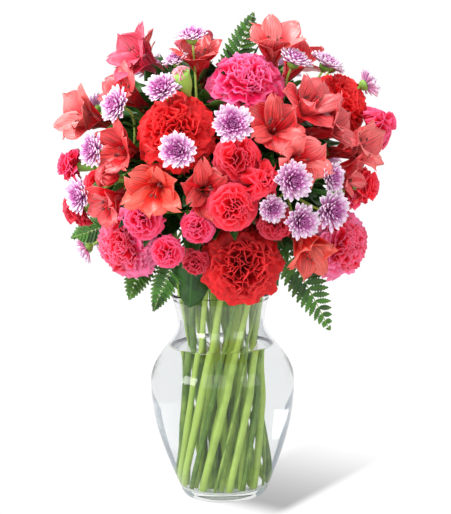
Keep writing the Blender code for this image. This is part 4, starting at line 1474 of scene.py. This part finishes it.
@dataclass
class Studio:
    """The pale floor, the soft light and the camera."""

    distance: float = 1.20
    height: float = 0.42
    pitch: float = 8.7
    roll: float = -1.2
    aside: float = 5.5 * MM
    lens: float = 86.85
    sky: float = 0.52
    # Direction and depth of the shadow that is painted on the floor, not cast.
    painted_shadow_way: tuple[float, float, float] = (0.592, 0.806, 0.0)
    painted_shadow_depth: float = 0.60

    def build(self) -> None:
        """Makes the whole studio."""
        self.floor()
        self.world()
        self.light("key", (-0.58, -0.42, 1.9), (0.5, 0.7), 29.0)
        self.light("window", (-1.16, -0.77, 0.70), (0.62, 0.46), 10.0)
        self.light("front", (-0.35, -1.45, 0.9), (1.1, 1.0), 6.0)
        self.light("fill", (1.2, -1.1, 0.8), (0.9, 0.9), 5.0)
        self.flag("flag_left", (-0.53, 0.27, 0.2), (0.68, 0.6), 63)
        self.flag("flag_right", (0.53, 0.27, 0.2), (0.68, 0.6), -63)
        self.camera()

    def flag(self, name: str, place: tuple[float, float, float], size: tuple[float, float],
             turn: float) -> None:
        """A grey card that only the glass sees, so that its edges read against the white."""
        upright = Matrix.Rotation(math.radians(turn), 4, "Z") @ Matrix.Rotation(math.pi / 2, 4, "X")
        made, t = blank(name)
        grey = t.node("Emission", Color=(0.40, 0.46, 0.52, 1), Strength=1.0)
        t.node("OutputMaterial", Surface=grey.outputs[0])
        card = self.board(
            name, made, Matrix.Translation(place) @ upright @ Matrix.Diagonal((*size, 1, 1))
        )
        card.visible_camera = card.visible_diffuse = card.visible_shadow = False
        card.visible_glossy = False

    def floor(self) -> None:
        """A wide white glowing floor with a soft shadow of the vase painted on it towards the back
        right.
        """
        made, t = blank("pale_floor")
        place = t.node("NewGeometry").outputs["Position"]
        along, beside = (
            t.node("VectorMath", operation="DOT_PRODUCT", i0=place, i1=line).outputs["Value"]
            for line in (self.painted_shadow_way, (self.painted_shadow_way[1], -self.painted_shadow_way[0], 0))
        )
        # Painted shadow: a soft wedge beside and behind the vase, darkened into the floor's glow.
        shade = t.math("MULTIPLY", t.ramp(beside, 0.093, 0.076), t.ramp(beside, -0.035, 0.0))
        shade = t.math("MULTIPLY", shade, t.ramp(along, 0.22, -0.04))
        shade = t.math("MULTIPLY", shade, t.ramp(along, -0.045, -0.005))
        level = t.math("SUBTRACT", 1.04, t.math("MULTIPLY", shade, self.painted_shadow_depth))
        glow = t.node("Emission", Strength=level)
        t.node("OutputMaterial", Surface=glow.outputs[0])
        floor = self.board(
            "floor", made, Matrix.Translation((0, 0, -0.4 * MM)) @ Matrix.Scale(12.0, 4)
        )

    def board(self, name: str, material: bpy.types.Material, matrix: Matrix) -> bpy.types.Object:
        """A flat stage object: a square of side 1 that a matrix puts in its place."""
        bm = bmesh.new()
        bmesh.ops.create_grid(bm, x_segments=1, y_segments=1, size=0.5)
        bmesh.ops.transform(bm, verts=bm.verts, matrix=matrix)
        mesh = mesh_of(name, bm)
        mesh.materials.append(material)
        made = bpy.data.objects.new(name, mesh)
        bpy.context.scene.collection.objects.link(made)
        return made

    def world(self) -> None:
        """A white surround that lights more softly than it looks."""
        world = bpy.data.worlds.new("white_surround")
        bpy.context.scene.world = world
        world.use_nodes = True
        t = NodeTree(world.node_tree)
        diffuse = t.node("LightPath").outputs["Is Diffuse Ray"]
        strength = t.node("MapRange", Value=diffuse, To_Min=1.0, To_Max=self.sky).outputs[0]
        background = t.node("Background", Color=(1, 1, 1, 1), Strength=strength)
        t.node("OutputWorld", Surface=background.outputs[0])

    def light(self, name: str, place: tuple[float, float, float], size: tuple[float, float],
              power: float) -> None:
        """A soft area light that points at the bouquet's middle."""
        lamp = bpy.data.lights.new(name, "AREA")
        lamp.shape, lamp.size, lamp.size_y, lamp.energy = "RECTANGLE", *size, power
        made = bpy.data.objects.new(name, lamp)
        made.location = place
        line = Vector((0, 0, 0.25)) - Vector(place)
        made.rotation_euler = line.to_track_quat("-Z", "Y").to_euler()
        bpy.context.scene.collection.objects.link(made)

    def camera(self) -> None:
        """The camera, a little above the middle of the bouquet."""
        data = bpy.data.cameras.new("camera")
        data.lens, data.sensor_width = self.lens, 36.0
        made = bpy.data.objects.new("camera", data)
        turn = Matrix.Rotation(math.radians(90 - self.pitch), 4, "X")
        turn = turn @ Matrix.Rotation(math.radians(self.roll), 4, "Z")
        made.matrix_world = Matrix.Translation((self.aside, -self.distance, self.height)) @ turn
        bpy.context.scene.collection.objects.link(made)
        bpy.context.scene.camera = made
        bpy.context.scene.view_settings.view_transform = "Standard"


def main() -> None:
    """Builds the bouquet in order."""
    logging.basicConfig(level=logging.INFO, format="%(name)s: %(message)s")
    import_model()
    SKINS["petal"], SKINS["leaf"] = petal_skin(), leaf_skin()
    Studio().build()
    Vase().build()
    dome = Dome(float(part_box("vase")[1][2]))
    bouquet = Bouquet(dome)
    bouquet.carnations()
    bouquet.minis()
    bouquet.lilies()
    bouquet.mums()
    Greenery(dome).build()


if __name__ == "__main__":
    main()
